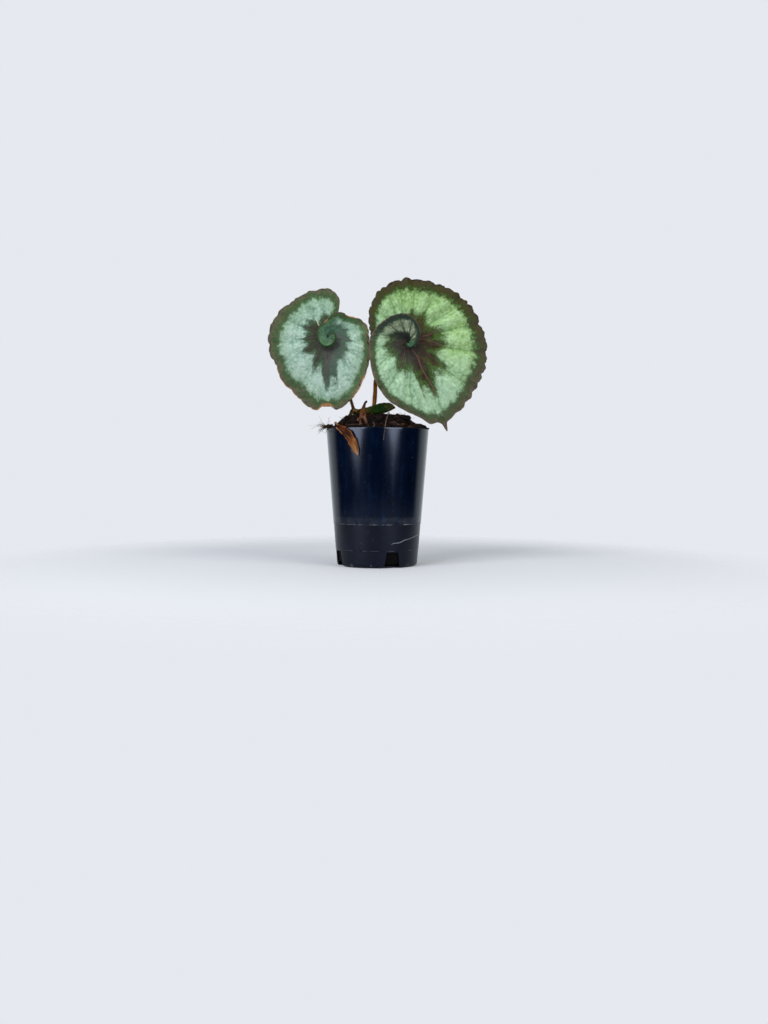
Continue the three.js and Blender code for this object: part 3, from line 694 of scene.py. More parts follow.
HUB_HOLE = 0.25
LEAN = 0.14
TUCK = 5.0  # how far the rolled lobe's rim bends back to the blade behind it
RIGHT_LEAF = {
    "hub": (28.6, -16.0, 215.7),
    "start": 180.0,
    "turn": -1,
    "pitch": 5.0,
    "yaw": 0.12,
    "dome": 0.0018,
    "flat_to": 36.0,
    "quilting": 1.6,
    "curl_from": 330.0,
    "curl_rise": 7.0,
    "roll_drop": (0.4, -2.5),
    "late_from": (150, 232),
    "grey_from": (335, 400),
    "core_from": (500, 552),
    "outline": [
        [-66, 14], [-40, 23], [-15, 32], [12, 36.6], [45, 49.6], [60, 55.4], [75, 59], [90, 61],
        [105, 61.3], [120, 64.2], [135, 67.7], [150, 70.9], [165, 72.4], [180, 75.8], [195, 77.7],
        [210, 78.4], [225, 80.5], [240, 83.8], [243, 84.8], [247, 84.6], [250, 82.2], [255, 81.3],
        [261, 73.7], [274, 65.8], [287, 60.4], [300, 53.8], [315, 46.9], [330, 41.3], [347, 37.9],
        [364, 35.9], [379, 32.6], [402, 29.2], [422, 27.6], [440, 26.3], [458, 23.6], [480, 18.9],
        [507, 14.1], [543, 9.4], [603, 7.4], [649, 5.3], [684, 4.8],
    ],
    # how far the dark star reaches: its arms run out along the main veins
    "star": [
        [-66, 6], [0, 8], [60, 14], [85, 21.7], [100, 25.9], [110, 24.6], [120, 27], [128, 27.4],
        [136, 22.4], [145, 21.6], [150, 26.4], [154, 28.7], [160, 29.3], [172, 31.6], [180, 30.5],
        [188, 32.1], [194, 30.2], [200, 28.7], [206, 27.4], [210, 31], [213, 37], [216, 41], [221, 37.7],
        [227, 39.2], [233, 39.1], [238, 43.7], [242.5, 51.6], [246, 45.4], [250, 42.7], [254.5, 46.3],
        [257, 38.4], [260, 29.3], [266, 24.4], [271, 28], [276, 30], [280, 28.4], [286, 25.9], [294, 23.9],
        [302, 20.3], [317, 19.1], [331, 21.4], [345, 20.1], [364, 17.3], [387, 14.9], [400, 9.6],
        [412, 9.8], [432, 7.2], [446, 7.7], [456, 6.6], [472, 4.7], [500, 3], [520, 1.2], [603, 0.8],
        [684, 0.6],
    ],
    "margin": [
        [-66, 6], [0, 8], [30, 9], [60, 10], [90, 11.3], [135, 11.4], [180, 13.1], [210, 12.9], [240, 10.8],
        [252, 10.5], [262, 7.9], [290, 7.0], [310, 6.5], [330, 6.6], [350, 6.8], [375, 7.4], [400, 6.3],
        [440, 5.6], [500, 5], [560, 3], [684, 1.5],
    ],
    "veins": [
        -66, -38, -8, 22, 46, 67, 81, 97, 120, 142, 163, 188, 216, 242.5, 267, 290, 318, 345, 372, 400, 430,
        460, 490, 520, 560, 620, 690,
    ],
    # strong ribs, as points across and up from the stalk: the midrib and the four beside it
    "ribs": [
        [
            (1.2, -6.2), (5.5, -10.5), (9.3, -15.3), (11.5, -21.6), (13.7, -27.8), (19.9, -37.4),
            (25.7, -47.1), (26.7, -53),
        ],
        [(9.3, -15.3), (15.6, -17.7), (22.3, -20.6), (28.1, -23), (36.8, -28.8)],
        [(-2.2, -8.6), (-3.4, -12.4), (-4.1, -16.3), (-6.5, -25.9)],
        [(9.8, 1.5), (16.6, 2), (21.4, 0.1), (27.1, -1.8), (37.7, -5.7)],
        [(12.7, 4.4), (19.4, 5.9), (24.2, 8.8), (30, 12.5)],
    ],
    # the drip tip: where it is, its length, and its half width in degrees
    "tip": (245.8, 9.0, 1.25),
    # tooth depth round the margin
    "teeth": [
        [-66, 0.8], [40, 1.5], [105, 2.2], [225, 2.2], [246, 0.6], [270, 0.5], [330, 0.2], [430, 0.35],
        [500, 0.25], [684, 0.05],
    ],
    "dry": [],
}
LEFT_LEAF = {
    "hub": (-49.2, -10.0, 220.9),
    "start": 0.0,
    "turn": 1,
    "pitch": 5.0,
    "yaw": -0.2,
    "dome": 0.0022,
    "flat_to": 34.0,
    "quilting": 0.9,
    "curl_from": 350.0,
    "curl_rise": 7.0,
    "roll_drop": (1.1, -2.5),
    "late_from": (252, 300),
    "grey_from": (360, 398),
    "core_from": (404, 430),
    "outline": [
        [60, 20], [66, 28], [70, 36], [76, 41.2], [86, 46.2], [94, 47.2], [109, 47.5], [123, 48.9],
        [138, 50.3], [152, 54.4], [166, 56.6], [180, 57.7], [195, 57.8], [209, 56.3], [223, 60.3],
        [238, 62.2], [252, 67.9], [262, 71.3], [267, 67.8], [273, 67.8], [279, 71.2], [286, 68.4],
        [294, 64.7], [306, 57.8], [320, 51.4], [332, 47.3], [352, 41.5], [371, 40.2], [380, 37.6],
        [393, 31.9], [404, 27.6], [415, 27], [427, 24.4], [444, 17.4], [464, 13.4], [488, 12.3],
        [514, 10.8], [560, 9.6], [622, 10.9], [680, 10], [760, 8],
    ],
    "star": [
        [60, 8], [76, 15.5], [97, 19.5], [120, 14.1], [139, 22.1], [150, 20.5], [156, 23.9], [164.6, 18.3],
        [181, 18.9], [185.7, 21.7], [190, 20.2], [203, 18.9], [213, 24.4], [223, 22.8], [232, 20.3],
        [241.8, 22.8], [245, 27.2], [249, 31.1], [255, 28.2], [261.7, 28.4], [264.4, 32.8], [267.8, 39.1],
        [270, 46.4], [273.7, 41.8], [275.8, 36.6], [283.7, 40], [287, 32.5], [290.6, 27.4], [297.2, 23.7],
        [304, 26.7], [311, 22.2], [325.6, 22.7], [336.7, 18.7], [347.7, 21.5], [357.6, 18.5], [377, 17.6],
        [388.7, 15.1], [403, 13], [416, 11.5], [428, 8.6], [445, 7], [480, 3.5], [560, 1], [760, 1],
    ],
    "margin": [
        [60, 8.5], [76, 10.8], [86, 10.8], [97, 9.2], [125, 9.1], [156, 12.7], [188, 11.4], [213, 9.2],
        [235, 11.1], [252, 13.1], [262, 11.7], [270, 5.3], [279, 9.3], [294, 9], [320, 7.7], [345, 6.9],
        [360, 7], [380, 8], [400, 7.4], [415, 6.5], [440, 4], [500, 2.5], [760, 2],
    ],
    "veins": [
        40, 72, 97, 125, 156, 185.7, 213, 243, 269.5, 304, 325.6, 347.7, 374, 398, 419, 445, 480, 520, 560,
        620, 690, 770,
    ],
    "ribs": [[(0.5, -24), (1, -31), (0.6, -38)], [(-3, -14), (0.5, -24)], [(6, -13), (0.8, -26)]],
    "tip": (0.0, 0.0, 1.0),
    "teeth": [[60, 0.3], [110, 1.0], [230, 1.1], [300, 0.7], [400, 0.7], [450, 0.2], [760, 0.05]],
    # dried margin: sweep, half width in degrees, depth in mm
    "dry": [
        (270, 5.5, 4.4), (262, 5, 1.6), (236, 20, 0.9), (213, 8, 0.8), (398, 9, 1.5), (310, 6, 2.0),
        (298, 6, 2.0), (455, 8, 1.8), (345, 9, 0.7),
    ],
}
ROW_GAP = 0.85  # distance between rows of points along the margin
BLADE_COLUMNS = 58
PUCKER = 3.3  # how big the little raised cells between the finest veins are
TOOTH_AT, TOOTH_STEP = 108.3, 8.9  # sweep of one tooth and from each to the next
RIBBED = (100, 345)  # sweep over which ribs show
NO_RIB = 9.0


def blade_spots(leaf, sweep, reach, share):
    """Where the blade's middle surface lies."""
    first, last = leaf["outline"][0][0], leaf["outline"][-1][0]
    angle = np.radians(leaf["start"] + leaf["turn"] * sweep)
    across, up = reach * np.cos(angle), reach * np.sin(angle)
    rolled = smoothstep(leaf["curl_from"], last, sweep)
    ripple = 0.8 * np.sin(3 * angle) * np.minimum(reach / 40, 1)
    tuck = smoothstep(leaf["curl_from"] + 110, leaf["curl_from"] + 230, sweep)
    tuck = TUCK * tuck * smoothstep(0.78, 1, share)
    rise = leaf["pitch"] * (sweep - first) / 360 + rolled * leaf["curl_rise"] * share**2 - tuck
    back = LEAN * up + leaf["yaw"] * across + leaf["dome"] * reach**2 + ripple - rise
    x, y, z = leaf["hub"]
    right, up_more = leaf["roll_drop"]
    return np.stack([x + across + right * rolled, y + back, z + up + up_more * rolled], axis=-1)


def blade_body(front, back):
    """A closed body between two grids of points, one in front of the other."""
    rows, columns = front.shape[:2]
    half = rows * columns
    faces = grid_faces(rows, columns).tolist()
    behind = grid_faces(rows, columns, first=half, flip=True).tolist()
    number = np.arange(half).reshape(rows, columns)
    rims = []
    for line in (number[0, ::-1], number[:, 0], number[-1], number[::-1, -1]):
        rims += [[a, b, b + half, a + half] for a, b in zip(line[:-1].tolist(), line[1:].tolist())]
    return np.concatenate([front.reshape(-1, 3), back.reshape(-1, 3)]), faces, behind, rims


def drip_tip(leaf, sweep):
    """How far the blade's drip tip stands out past its outline."""
    middle, length, width = leaf["tip"]
    return length * np.exp(-(((sweep - middle) / width) ** 2))


def spiral_blade(name, leaf, node, skins):
    """One blade: a grid of rows from the hub to the margin, and the marks its skins read."""
    first, last = leaf["outline"][0][0], leaf["outline"][-1][0]
    fine = np.linspace(first, last, 6000)
    edge = np.maximum(smooth(leaf["outline"], fine) + drip_tip(leaf, fine), 9)
    run = np.concatenate([[0], np.cumsum(np.hypot(np.diff(edge), edge[1:] * np.radians(np.diff(fine))))])
    rows = int(run[-1] / ROW_GAP)
    sweep = np.interp(np.linspace(0, run[-1], rows), run, fine)
    place = np.interp(sweep, fine, run)
    # rounded teeth about nine degrees apart, with finer ones between
    depth = smooth(leaf["teeth"], sweep)
    sway = 1.3 * np.sin(place / 17) + 0.8 * np.sin(place / 7.3)
    bumps = np.abs(np.cos(np.pi * (sweep - TOOTH_AT) / TOOTH_STEP + 0.9 * np.sin(sweep / 11))) ** 0.6 - 0.74
    small = np.abs(np.sin(np.pi * (place - sway) / 5.6)) ** 0.7 - 0.7
    inner_edge = smooth(leaf["outline"], sweep)
    outer = inner_edge + depth * (0.95 * bumps + 0.3 * small) + drip_tip(leaf, sweep)
    share = 1 - (1 - np.linspace(0, 1, BLADE_COLUMNS)) ** 1.15
    sweep, share = np.meshgrid(sweep, share, indexing="ij")
    reach = HUB_HOLE + (outer[:, None] - HUB_HOLE) * share
    place = np.broadcast_to(place[:, None], sweep.shape)
    middle = blade_spots(leaf, sweep, reach, share)

    # each main vein forks on its way to the margin
    veins = np.array(leaf["veins"], float)
    around = np.radians(sweep)
    flat = np.stack([reach * np.cos(around), reach * np.sin(around), sweep / 40], axis=-1)
    drift = grain(flat.reshape(-1, 3), 15, 5).reshape(sweep.shape)
    swept = sweep + 3.4 * drift * smoothstep(8, 30, reach)
    phase = np.interp(swept, veins, np.arange(len(veins)))
    gap = reach * np.radians(np.interp(sweep, (veins[1:] + veins[:-1]) / 2, np.diff(veins)))
    turn_out = 0.12 * np.sin(2.4 * np.round(phase) ** 2)
    fork = 0.25 * smoothstep(0.38 + turn_out, 0.85 + turn_out, share)
    off = np.abs(phase - np.round(phase))
    vein_mm, fork_mm = off * gap, np.abs(off - fork) * gap

    # puckers between the finest veins, and soft creases across the quilts
    creases = np.stack([reach / 4.6, phase * 3.4, reach * 0], axis=-1).reshape(-1, 3)
    crease = 1 - 2.4 * np.abs(grain(creases, 1.0, 17)).reshape(sweep.shape)
    near = np.array([noise.voronoi(Vector(c) / PUCKER)[0][:2] for c in (flat * (1, 1, 4)).reshape(-1, 3)])
    net = (near[:, 1] - near[:, 0]).reshape(sweep.shape)

    size = smoothstep(leaf["flat_to"] * 0.4, leaf["flat_to"], reach)
    pillow = 1.1 * (1 - np.exp(-((vein_mm / 4.5) ** 2))) + 0.4 * (1 - np.exp(-((fork_mm / 2.4) ** 2)))
    ruffle = 0.7 * np.sin(place / 2.6 + 0.8 * np.sin(place / 9))
    ruffle = ruffle * smoothstep(0.75, 1.0, share) * np.minimum(reach / 50, 1)
    relief = leaf["quilting"] * pillow + 0.16 * smoothstep(0.0, 0.5, net) + 0.42 * crease
    relief = relief * size + ruffle

    along_row, along_column = np.gradient(middle, axis=0), np.gradient(middle, axis=1)
    facing = unit(np.cross(along_row, along_column))
    facing = facing * np.where(facing[..., 1:2] > 0, -1, 1)
    thick = 0.34 - 0.17 * share
    front = middle + facing * (relief + thick)[..., None]
    back = middle + facing * (relief - thick)[..., None]
    spots, faces, behind, rims = blade_body(front, back)
    if leaf["turn"] > 0:
        faces, behind, rims = ([f[::-1] for f in some] for some in (faces, behind, rims))

    from_start = reach * np.radians(sweep - first) * 1.5
    from_edge = np.minimum(np.minimum(outer, inner_edge + 1.5)[:, None] - reach, from_start)
    from_edge = np.maximum(from_edge, 0.1)
    rib = np.full(sweep.shape, NO_RIB)
    angle = np.radians(leaf["start"] + leaf["turn"] * sweep)
    spot = np.stack([reach * np.cos(angle), reach * np.sin(angle)], axis=-1)
    for k, line in enumerate(leaf["ribs"]):
        for a, b in zip(np.array(line[:-1], float), np.array(line[1:], float)):
            t = np.clip(((spot - a) @ (b - a)) / np.dot(b - a, b - a), 0, 1)
            far = np.linalg.norm(spot - a - t[..., None] * (b - a), axis=-1)
            rib = np.minimum(rib, far + (0.14 if k else 0))
    rib = np.where((sweep > RIBBED[0]) & (sweep < RIBBED[1]), rib, NO_RIB)
    dry = np.zeros(sweep.shape)
    for middle_sweep, half_width, deep in leaf["dry"]:
        patch = np.exp(-(((sweep - middle_sweep) / half_width) ** 2))
        dry = np.maximum(dry, patch * (1 - smoothstep(deep * 0.45, deep * 1.1, from_edge)))
    marks = {
        "star": reach / smooth(leaf["star"], sweep),
        "margin": from_edge / smooth(leaf["margin"], sweep),
        "from_edge": from_edge,
        "phase": phase,
        "gap": gap,
        "fork": fork,
        "share": share,
        "net": net,
        # how high the quilts stand, which the top skin paints as light on the crests and shade in the folds
        "crest": 0.5 * pillow / 1.5 + 0.5 * crease,
        "reach": reach,
        "dry": dry,
        "late": smoothstep(*leaf["late_from"], sweep),
        "curl": smoothstep(*leaf["grey_from"], sweep),
        "core": smoothstep(*leaf["core_from"], sweep),
        "rib": rib,
    }
    tones = {key: np.tile(np.broadcast_to(value, sweep.shape).ravel(), 2) for key, value in marks.items()}
    body = faces + rims + behind
    piece = make_piece(name, spots, body, *skins, slot="leaf_blade", replaces=[node], **tones)
    sides = np.zeros(len(piece.data.polygons), np.int32)
    sides[len(faces) + len(rims) :] = 1
    piece.data.polygons.foreach_set("material_index", sides)


def vein_lines(add, vein_width, fork_width):
    """Masks of the main veins and of their forks, and how near the fold round a main vein is."""
    fold = add("Math PINGPONG", "phase", 0.5)
    beside = add("Math ABSOLUTE", add("Math SUBTRACT", fold, "fork"))
    masks = []
    for line, width in ((fold, vein_width), (beside, fork_width)):
        far = add("Math MULTIPLY", line, "gap")
        masks.append(add("MapRange", far, width * 0.2, width, 1.0, 0.0))
    return *masks, add("MapRange", fold, 0.0, 0.4, 1.0, 0.0)


def leaf_top(name, tints):
    """The upper skin: dark star, silvered band, green and brown margin, sunken veins."""
    material, add, mm = start_material(name)
    split = add("SeparateXYZ", mm)
    across, height = split.outputs["X"], split.outputs["Z"]
    vein, branch, fold = vein_lines(add, vein_width=1.2, fork_width=1.0)

    def strokes(per_vein, per_mm, seed, detail=3.0):
        """Strokes that run out along the veins, so many from vein to vein and so many in a mm."""
        a = add("Math MULTIPLY", "phase", per_vein)
        b = add("Math MULTIPLY", "reach", per_mm)
        spot = add("CombineXYZ", a, b, seed)
        return add("TexNoise", Vector=spot, Scale=1.0, Detail=detail, Roughness=0.6)

    def ramp(value, key, low=0, high=1):
        return add("ValToRGB", add("MapRange", value, low, high), stops=tints[key])

    fine = add("TexNoise", Vector=mm, Scale=0.9, Detail=4.0, Roughness=0.65)
    medium = add("TexNoise", Vector=mm, Scale=0.36, Detail=4.0, Roughness=0.6)
    patch = add("TexNoise", Vector=mm, Scale=0.16, Detail=3.0, Roughness=0.6)

    # borders of the star and the margin: pinched in between the quilts, feathered along the veins,
    # and softer in the rolled lobe
    feather = ((strokes(5.0, 0.1, 2.5), 0.3), (patch, 0.4), (fine, 0.4), (fold, tints["pinch"]))
    star = add_up(add, -1.56 - tints["star_grows"], ("star", 1.0), *feather)
    star = add("Math MULTIPLY_ADD", star, add_up(add, 1.0, ("curl", -0.45)), 1.0)
    in_fringe = add("MapRange SMOOTHSTEP", star, 0.74, 1.0)
    past_star = add("MapRange SMOOTHSTEP", star, 0.9, 1.19)
    feather = ((strokes(8.0, 0.16, 8.5), 0.5), (patch, 0.7), (fine, 0.75))
    margin = add_up(add, -0.98, ("margin", 1.0), *feather)
    past_margin = add("MapRange SMOOTHSTEP", margin, 0.8, 1.3)

    # the band: silvery air under the skin, mottled, with painted light on the quilts' crests, painted shade
    # in their folds and a painted shade towards the top
    cell = add("MapRange", "net", 0.02, 0.45)
    shaded = add("MapRange SMOOTHSTEP", height, *tints["shaded_from"])
    mottle = ((strokes(6.0, 0.25, 5.5, 5.0), 0.3), (fine, 0.5), (medium, 0.8), (patch, 0.4))
    brush = add_up(add, 0.0, *mottle, ("crest", 0.4), (cell, 0.28), (shaded, -tints["shade"]))
    brush = add("MapRange", brush, 0.87, 1.77)
    cloud = add("TexNoise", Vector=mm, Scale=0.05, Detail=2.0)
    warm = add("MapRange", add_up(add, height, (across, 0.8)), *tints["warm_from"])
    warm = add("Math MULTIPLY_ADD", cloud, 0.9, add_up(add, -0.45, (warm, 1.0)), use_clamp=True)
    nearing = add("MapRange", margin, 1.1, 2.1, tints["outer_share"], 0.0)
    band = lay_over(add, ramp(brush, "band_cool"), (warm, ramp(brush, "band_warm")))
    # in the rolled lobe the band goes grey and darker, on the mint-banded leaf partly a painted shade
    # inside the roll
    rolled = ((key, ramp(brush, key)) for key in ("curl", "core"))
    band = lay_over(add, band, (nearing, tints["outer"]), *rolled)
    # vein lines, the veins' own green deepened as a painted shade of their sunken folds, fade from the star
    # outwards and stay dark in the curl
    fading = add("MapRange", "share", 0.45, 0.95, 1.0, 0.45)
    plain = add("Math SUBTRACT", 1.0, "core")
    fading = add_up(add, add("Math MULTIPLY", fading, plain), ("curl", 0.4))
    line_tint = lay_over(add, tints["band_vein"], ("curl", tints["curl_vein"]))
    for lines, share in ((vein, tints["vein_share"]), (branch, tints["vein_share"] * 0.3)):
        mask = add("Math MULTIPLY", add("Math MULTIPLY", lines, share), fading)
        band = lay_over(add, band, (mask, line_tint))

    # the star: grey on one side, on the mint-banded leaf partly a painted glare, warm brown on the other,
    # olive at its top, green at its border
    side = add("MapRange SMOOTHSTEP", across, *tints["warm_side"])
    top = add("MapRange SMOOTHSTEP", height, *tints["olive_from"])
    depth = add_up(add, -0.77, (star, 1.0), (patch, 0.9), (fine, 0.4), (medium, 0.4), (fold, -0.15))
    blush = add("MapRange SMOOTHSTEP", "rib", 0.3, 2.4, 0.6, 0.0)
    skin = lay_over(add, ramp(depth, "star_cool"), (side, ramp(depth, "star_warm")))
    skin = lay_over(add, skin, (top, ramp(fine, "star_top", 0.3, 0.7)), (blush, tints["blush"]))
    faint = add("Math MULTIPLY", vein, 0.12)
    # in the rolled lobe the star takes its own tints, near black on the mint-banded leaf, partly a painted
    # shade inside the roll
    skin = lay_over(add, skin, (faint, tints["rib"]), ("curl", ramp(depth, "curl_star")))
    fringe = lay_over(add, ramp(fine, "fringe", 0.3, 0.7), ("curl", ramp(fine, "curl_star", 0.3, 0.9)))
    line = add("MapRange", "rib", 0.18, 0.55, tints["rib_share"], 0.0)
    skin = lay_over(add, skin, (in_fringe, fringe), (past_star, band), (line, tints["rib"]))

    # the margin: near black at the very edge, brown, olive, then a green feather
    zone = add_up(add, -1.65, (margin, 1.0), (fine, 0.8), (medium, 2.5))
    first, late, curled = (ramp(zone, key + "margin", -0.2, 1.25) for key in ("", "late_", "curl_"))
    spotted = add("MapRange", fine, 0.56, 0.66, 0.0, 0.45)
    rim_skin = lay_over(add, first, ("late", late), ("curl", curled), (spotted, tints["spots"]))
    hem = add("Math MULTIPLY", add("MapRange", "from_edge", 0.3, 1.3, 0.8, 0.0), plain)
    hem_tint = lay_over(add, tints["hem"], ("late", tints["late_hem"]))
    burnt = add("MapRange", add_up(add, 0.0, ("dry", 1.0), (fine, 0.9), (patch, 0.5)), 1.0, 1.3)
    skin = lay_over(add, rim_skin, (past_margin, skin), (hem, hem_tint))
    skin = lay_over(add, skin, (burnt, ramp(fine, "dry", 0.3, 0.7)))

    gloss = add_up(add, add("MapRange", past_star, 0, 1, 0.46, 0.52), (fine, 0.16), ("curl", 0.25))
    grainy = add("TexNoise", Vector=mm, Scale=2.2, Detail=3.0)
    relief = add_up(add, grainy, (cell, 0.8), (branch, -0.9), (medium, 1.2))
    finish = {"Roughness": gloss, "IOR": 1.4, "Specular_IOR_Level": 0.15}
    finish_skin(add, skin, relief, strength=0.5, depth=0.6, **finish)
    return material


def leaf_underside(name):
    """The lower skin: wine red over green, with raised paler veins."""
    material, add, mm = start_material(name)
    vein, branch, _ = vein_lines(add, vein_width=1.1, fork_width=0.8)
    fine = add("TexNoise", Vector=mm, Scale=0.5, Detail=4.0, Roughness=0.6)
    red = add("ValToRGB", fine, stops=[(0, "#4b2326"), (0.5, "#6a3335"), (1, "#87504c")])
    green = add("ValToRGB", fine, stops=[(0, "#6c6a4c"), (0.5, "#7f7d5c"), (1, "#99966f")])
    inner = add("MapRange SMOOTHSTEP", "star", 0.9, 1.3)
    outer = add("MapRange SMOOTHSTEP", "margin", 0.6, 1.2)
    cell = add("MapRange", "net", 0.0, 0.25, 0.5, 0.0)
    raised = [cell, add("Math MULTIPLY", branch, 0.6), add("Math MULTIPLY", vein, 0.9)]
    burnt = add("MapRange", add_up(add, "dry", (fine, 0.9)), 0.8, 1.05)
    skin = lay_over(add, red, (add("Math MULTIPLY", inner, outer), green))
    skin = lay_over(add, skin, *((mask, "#a8695c") for mask in raised), (burnt, "#a8763c"))
    gloss = add("MapRange", fine, 0, 1, 0.42, 0.62)
    relief = add_up(add, branch, (vein, 2.0), (cell, 0.8))
    downy = {"Sheen_Weight": 0.25, "Sheen_Roughness": 0.5}
    finish_skin(add, skin, relief, strength=0.5, depth=0.6, Roughness=gloss, IOR=1.42, **downy)
    return material


RIGHT_TINTS = {
    "band_warm": [(0, "#729a56"), (0.3, "#90b873"), (0.6, "#a6cf90"), (1, "#c6e6b6")],
    "band_cool": [(0, "#7ba67b"), (0.4, "#a2caa4"), (0.7, "#b4dab6"), (1, "#d4eed4")],
    "warm_from": (225.0, 275.0),
    "shaded_from": (245.0, 282.0),
    "shade": 0.53,
    # the rolled lobe's grey band, dark veins and near black star are partly a painted shade inside the roll
    "curl": [(0, "#525f47"), (0.5, "#808f74"), (1, "#acbb9f")],
    "curl_vein": "#2e3b2d",
    "curl_star": [(0, "#020302"), (0.7, "#080d09"), (1, "#1c2821")],
    "core": [(0, "#22452e"), (0.5, "#3d6c48"), (1, "#6a9c78")],
    "band_vein": "#50773c",
    "vein_share": 0.6,
    "star_grows": 0.05,
    "pinch": -0.1,
    "star_warm": [(0, "#140b00"), (0.36, "#291a06"), (0.58, "#2f260b"), (0.76, "#303e0e"), (1, "#40641f")],
    # grey where the star lies left of its hub, partly a painted glare
    "star_cool": [(0, "#100e08"), (0.3, "#252118"), (0.55, "#35352d"), (0.76, "#354426"), (1, "#476638")],
    "star_top": [(0, "#262a06"), (0.5, "#363309"), (1, "#4c5a1e")],
    "olive_from": (221.0, 230.0),
    "warm_side": (26.0, 44.0),
    "blush": "#3c2214",
    "rib": "#735645",
    "rib_share": 0.8,
    "fringe": [(0, "#26380c"), (0.5, "#3a551a"), (1, "#567c3a")],
    "margin": [
        (0, "#2a231a"), (0.14, "#3a3322"), (0.24, "#544b2e"), (0.34, "#3c371a"), (0.46, "#464318"),
        (0.56, "#323c14"), (0.72, "#355018"), (1, "#5a8440"),
    ],
    "spots": "#241f14",
    "late_margin": [
        (0, "#6c6458"), (0.2, "#625a45"), (0.42, "#4f5336"), (0.62, "#455a37"), (0.8, "#416039"),
        (1, "#628a5a"),
    ],
    # the rolled lobe's dark margin is partly a painted shade inside the roll
    "curl_margin": [(0, "#6a625a"), (0.12, "#4a463e"), (0.25, "#26302a"), (0.6, "#22352a"), (1, "#3c5540")],
    "hem": "#2e2a22",
    "late_hem": "#665c50",
    "outer": "#8aad72",
    "outer_share": 0.12,
    "dry": [(0, "#5a3d1e"), (1, "#b9813e")],
}
LEFT_TINTS = {
    "band_warm": [(0, "#7aa187"), (0.45, "#a8cab4"), (1, "#cfe5d8")],
    "band_cool": [(0, "#7a9f8b"), (0.45, "#a6c7b6"), (1, "#cbe2d6")],
    "warm_from": (150.0, 200.0),
    "shaded_from": (214.0, 245.0),
    "shade": 0.2,
    "curl": [(0, "#6d9480"), (1, "#bcd6c6")],
    "curl_vein": "#5a8570",
    "curl_star": [(0, "#1f3c2b"), (0.5, "#31533f"), (1, "#527a62")],
    "core": [(0, "#344f37"), (0.5, "#507353"), (1, "#7aa17e")],
    "band_vein": "#6f9582",
    "vein_share": 0.5,
    "star_grows": 0.1,
    "pinch": -0.02,
    "star_warm": [(0, "#3a413c"), (0.5, "#545e57"), (0.82, "#465a4e"), (1, "#4c6c52")],
    "star_cool": [(0, "#242317"), (0.5, "#303120"), (0.82, "#323f26"), (1, "#42623c")],
    "star_top": [(0, "#2a2f1c"), (0.5, "#37402a"), (1, "#4a5e3c")],
    "olive_from": (229.0, 240.0),
    "warm_side": (-60.0, -40.0),
    "blush": "#45433e",
    "rib": "#80706c",
    "rib_share": 0.3,
    "fringe": [(0, "#2b3f31"), (0.5, "#3c5840"), (1, "#597e5f")],
    "margin": [
        (0, "#443d30"), (0.16, "#5a5343"), (0.26, "#706b52"), (0.36, "#51583b"), (0.5, "#4b613c"),
        (0.62, "#395328"), (0.8, "#40643a"), (1, "#5c8656"),
    ],
    "late_margin": [
        (0, "#40392c"), (0.16, "#665d44"), (0.26, "#797654"), (0.38, "#646d48"), (0.52, "#537248"),
        (0.68, "#4a6b45"), (0.84, "#5e8459"), (1, "#729c72"),
    ],
    "spots": "#26301c",
    "curl_margin": [(0, "#4c4438"), (0.3, "#435033"), (0.6, "#30522e"), (1, "#527c50")],
    "hem": "#565242",
    "late_hem": "#5a4c3c",
    "outer": "#86a87e",
    "outer_share": 0.42,
    "dry": [(0, "#5f3c1c"), (0.4, "#96683a"), (0.7, "#c99a62"), (1, "#e8c896")],
}
right_top = leaf_top("rex_leaf_top_mint_banded", RIGHT_TINTS)
left_top = leaf_top("rex_leaf_top_silver_banded", LEFT_TINTS)
underside = leaf_underside("rex_leaf_underside")
spiral_blade("right_leaf_blade", RIGHT_LEAF, "leaf_right", (right_top, underside))
spiral_blade("left_leaf_blade", LEFT_LEAF, "leaf_left", (left_top, underside))


# ---- Young leaf ----
# The next leaf, dark green and still folded along its midrib like a purse with its mouth up. It
# leans low over the mix on a short stalk of its own from the rhizome's tip.

YOUNG_MIDRIB = [
    (-19, -12.5, 148), (-10, -11.8, 146.6), (0, -11, 146.6), (9, -10.5, 148.4), (17, -9.5, 152.4)
]
YOUNG_HALF_WIDTH = [[0, 2.5], [0.25, 6.5], [0.6, 10.2], [0.85, 7.6], [1, 1]]
YOUNG_SPREAD, YOUNG_HOLLOW = 0.17, 1.6
YOUNG_LENGTH = 38.0
YOUNG_RIB_GAP = 5.2
YOUNG_THICK = 0.22  # half its thickness
YOUNG_STALK_PATH = [(-21.5, -7.5, 147.5), (-22.6, -12, 149), (-21.4, -13.2, 148.8), (-19.6, -12.8, 148.4)]
YOUNG_STALK_RADII = [[0, 1.5], [1, 1.2]]
YOUNG_ROWS, YOUNG_COLUMNS = 90, 61

# Young leaf skin: deep bottle green with a waxy shine, olive brown towards its tip and margin,
# and lighter where the ribs stand out.
young_skin, add, mm = start_material("young_begonia_leaf_skin")
blotch = add("TexNoise", Vector=mm, Scale=0.35, Detail=4.0, Roughness=0.6)
green = add("ValToRGB", blotch, stops=[(0, "#081c00"), (0.45, "#123600"), (0.7, "#205000"), (1, "#387008")])
olive = add("ValToRGB", blotch, stops=[(0, "#4a4a20"), (1, "#7c7640")])
tip = add("MapRange", add_up(add, "along", (blotch, 0.3)), 0.82, 1.02)
foot = add("MapRange", "along", 0.18, 0.42, 0.85, 0.0)
rib_light = add("MapRange", "rib", 0.0, 0.9, 0.16, 0.0)
hem = add("MapRange", "edge", 0.1, 0.8, 0.7, 0.0)
skin = lay_over(add, green, (tip, olive), (foot, "#4c3f08"), (rib_light, "#3d6420"), (hem, "#43361a"))
gloss = add("MapRange", blotch, 0, 1, 0.34, 0.5)
finish_skin(add, skin, blotch, strength=0.35, depth=0.6, Roughness=gloss, IOR=1.42, Specular_IOR_Level=0.07)

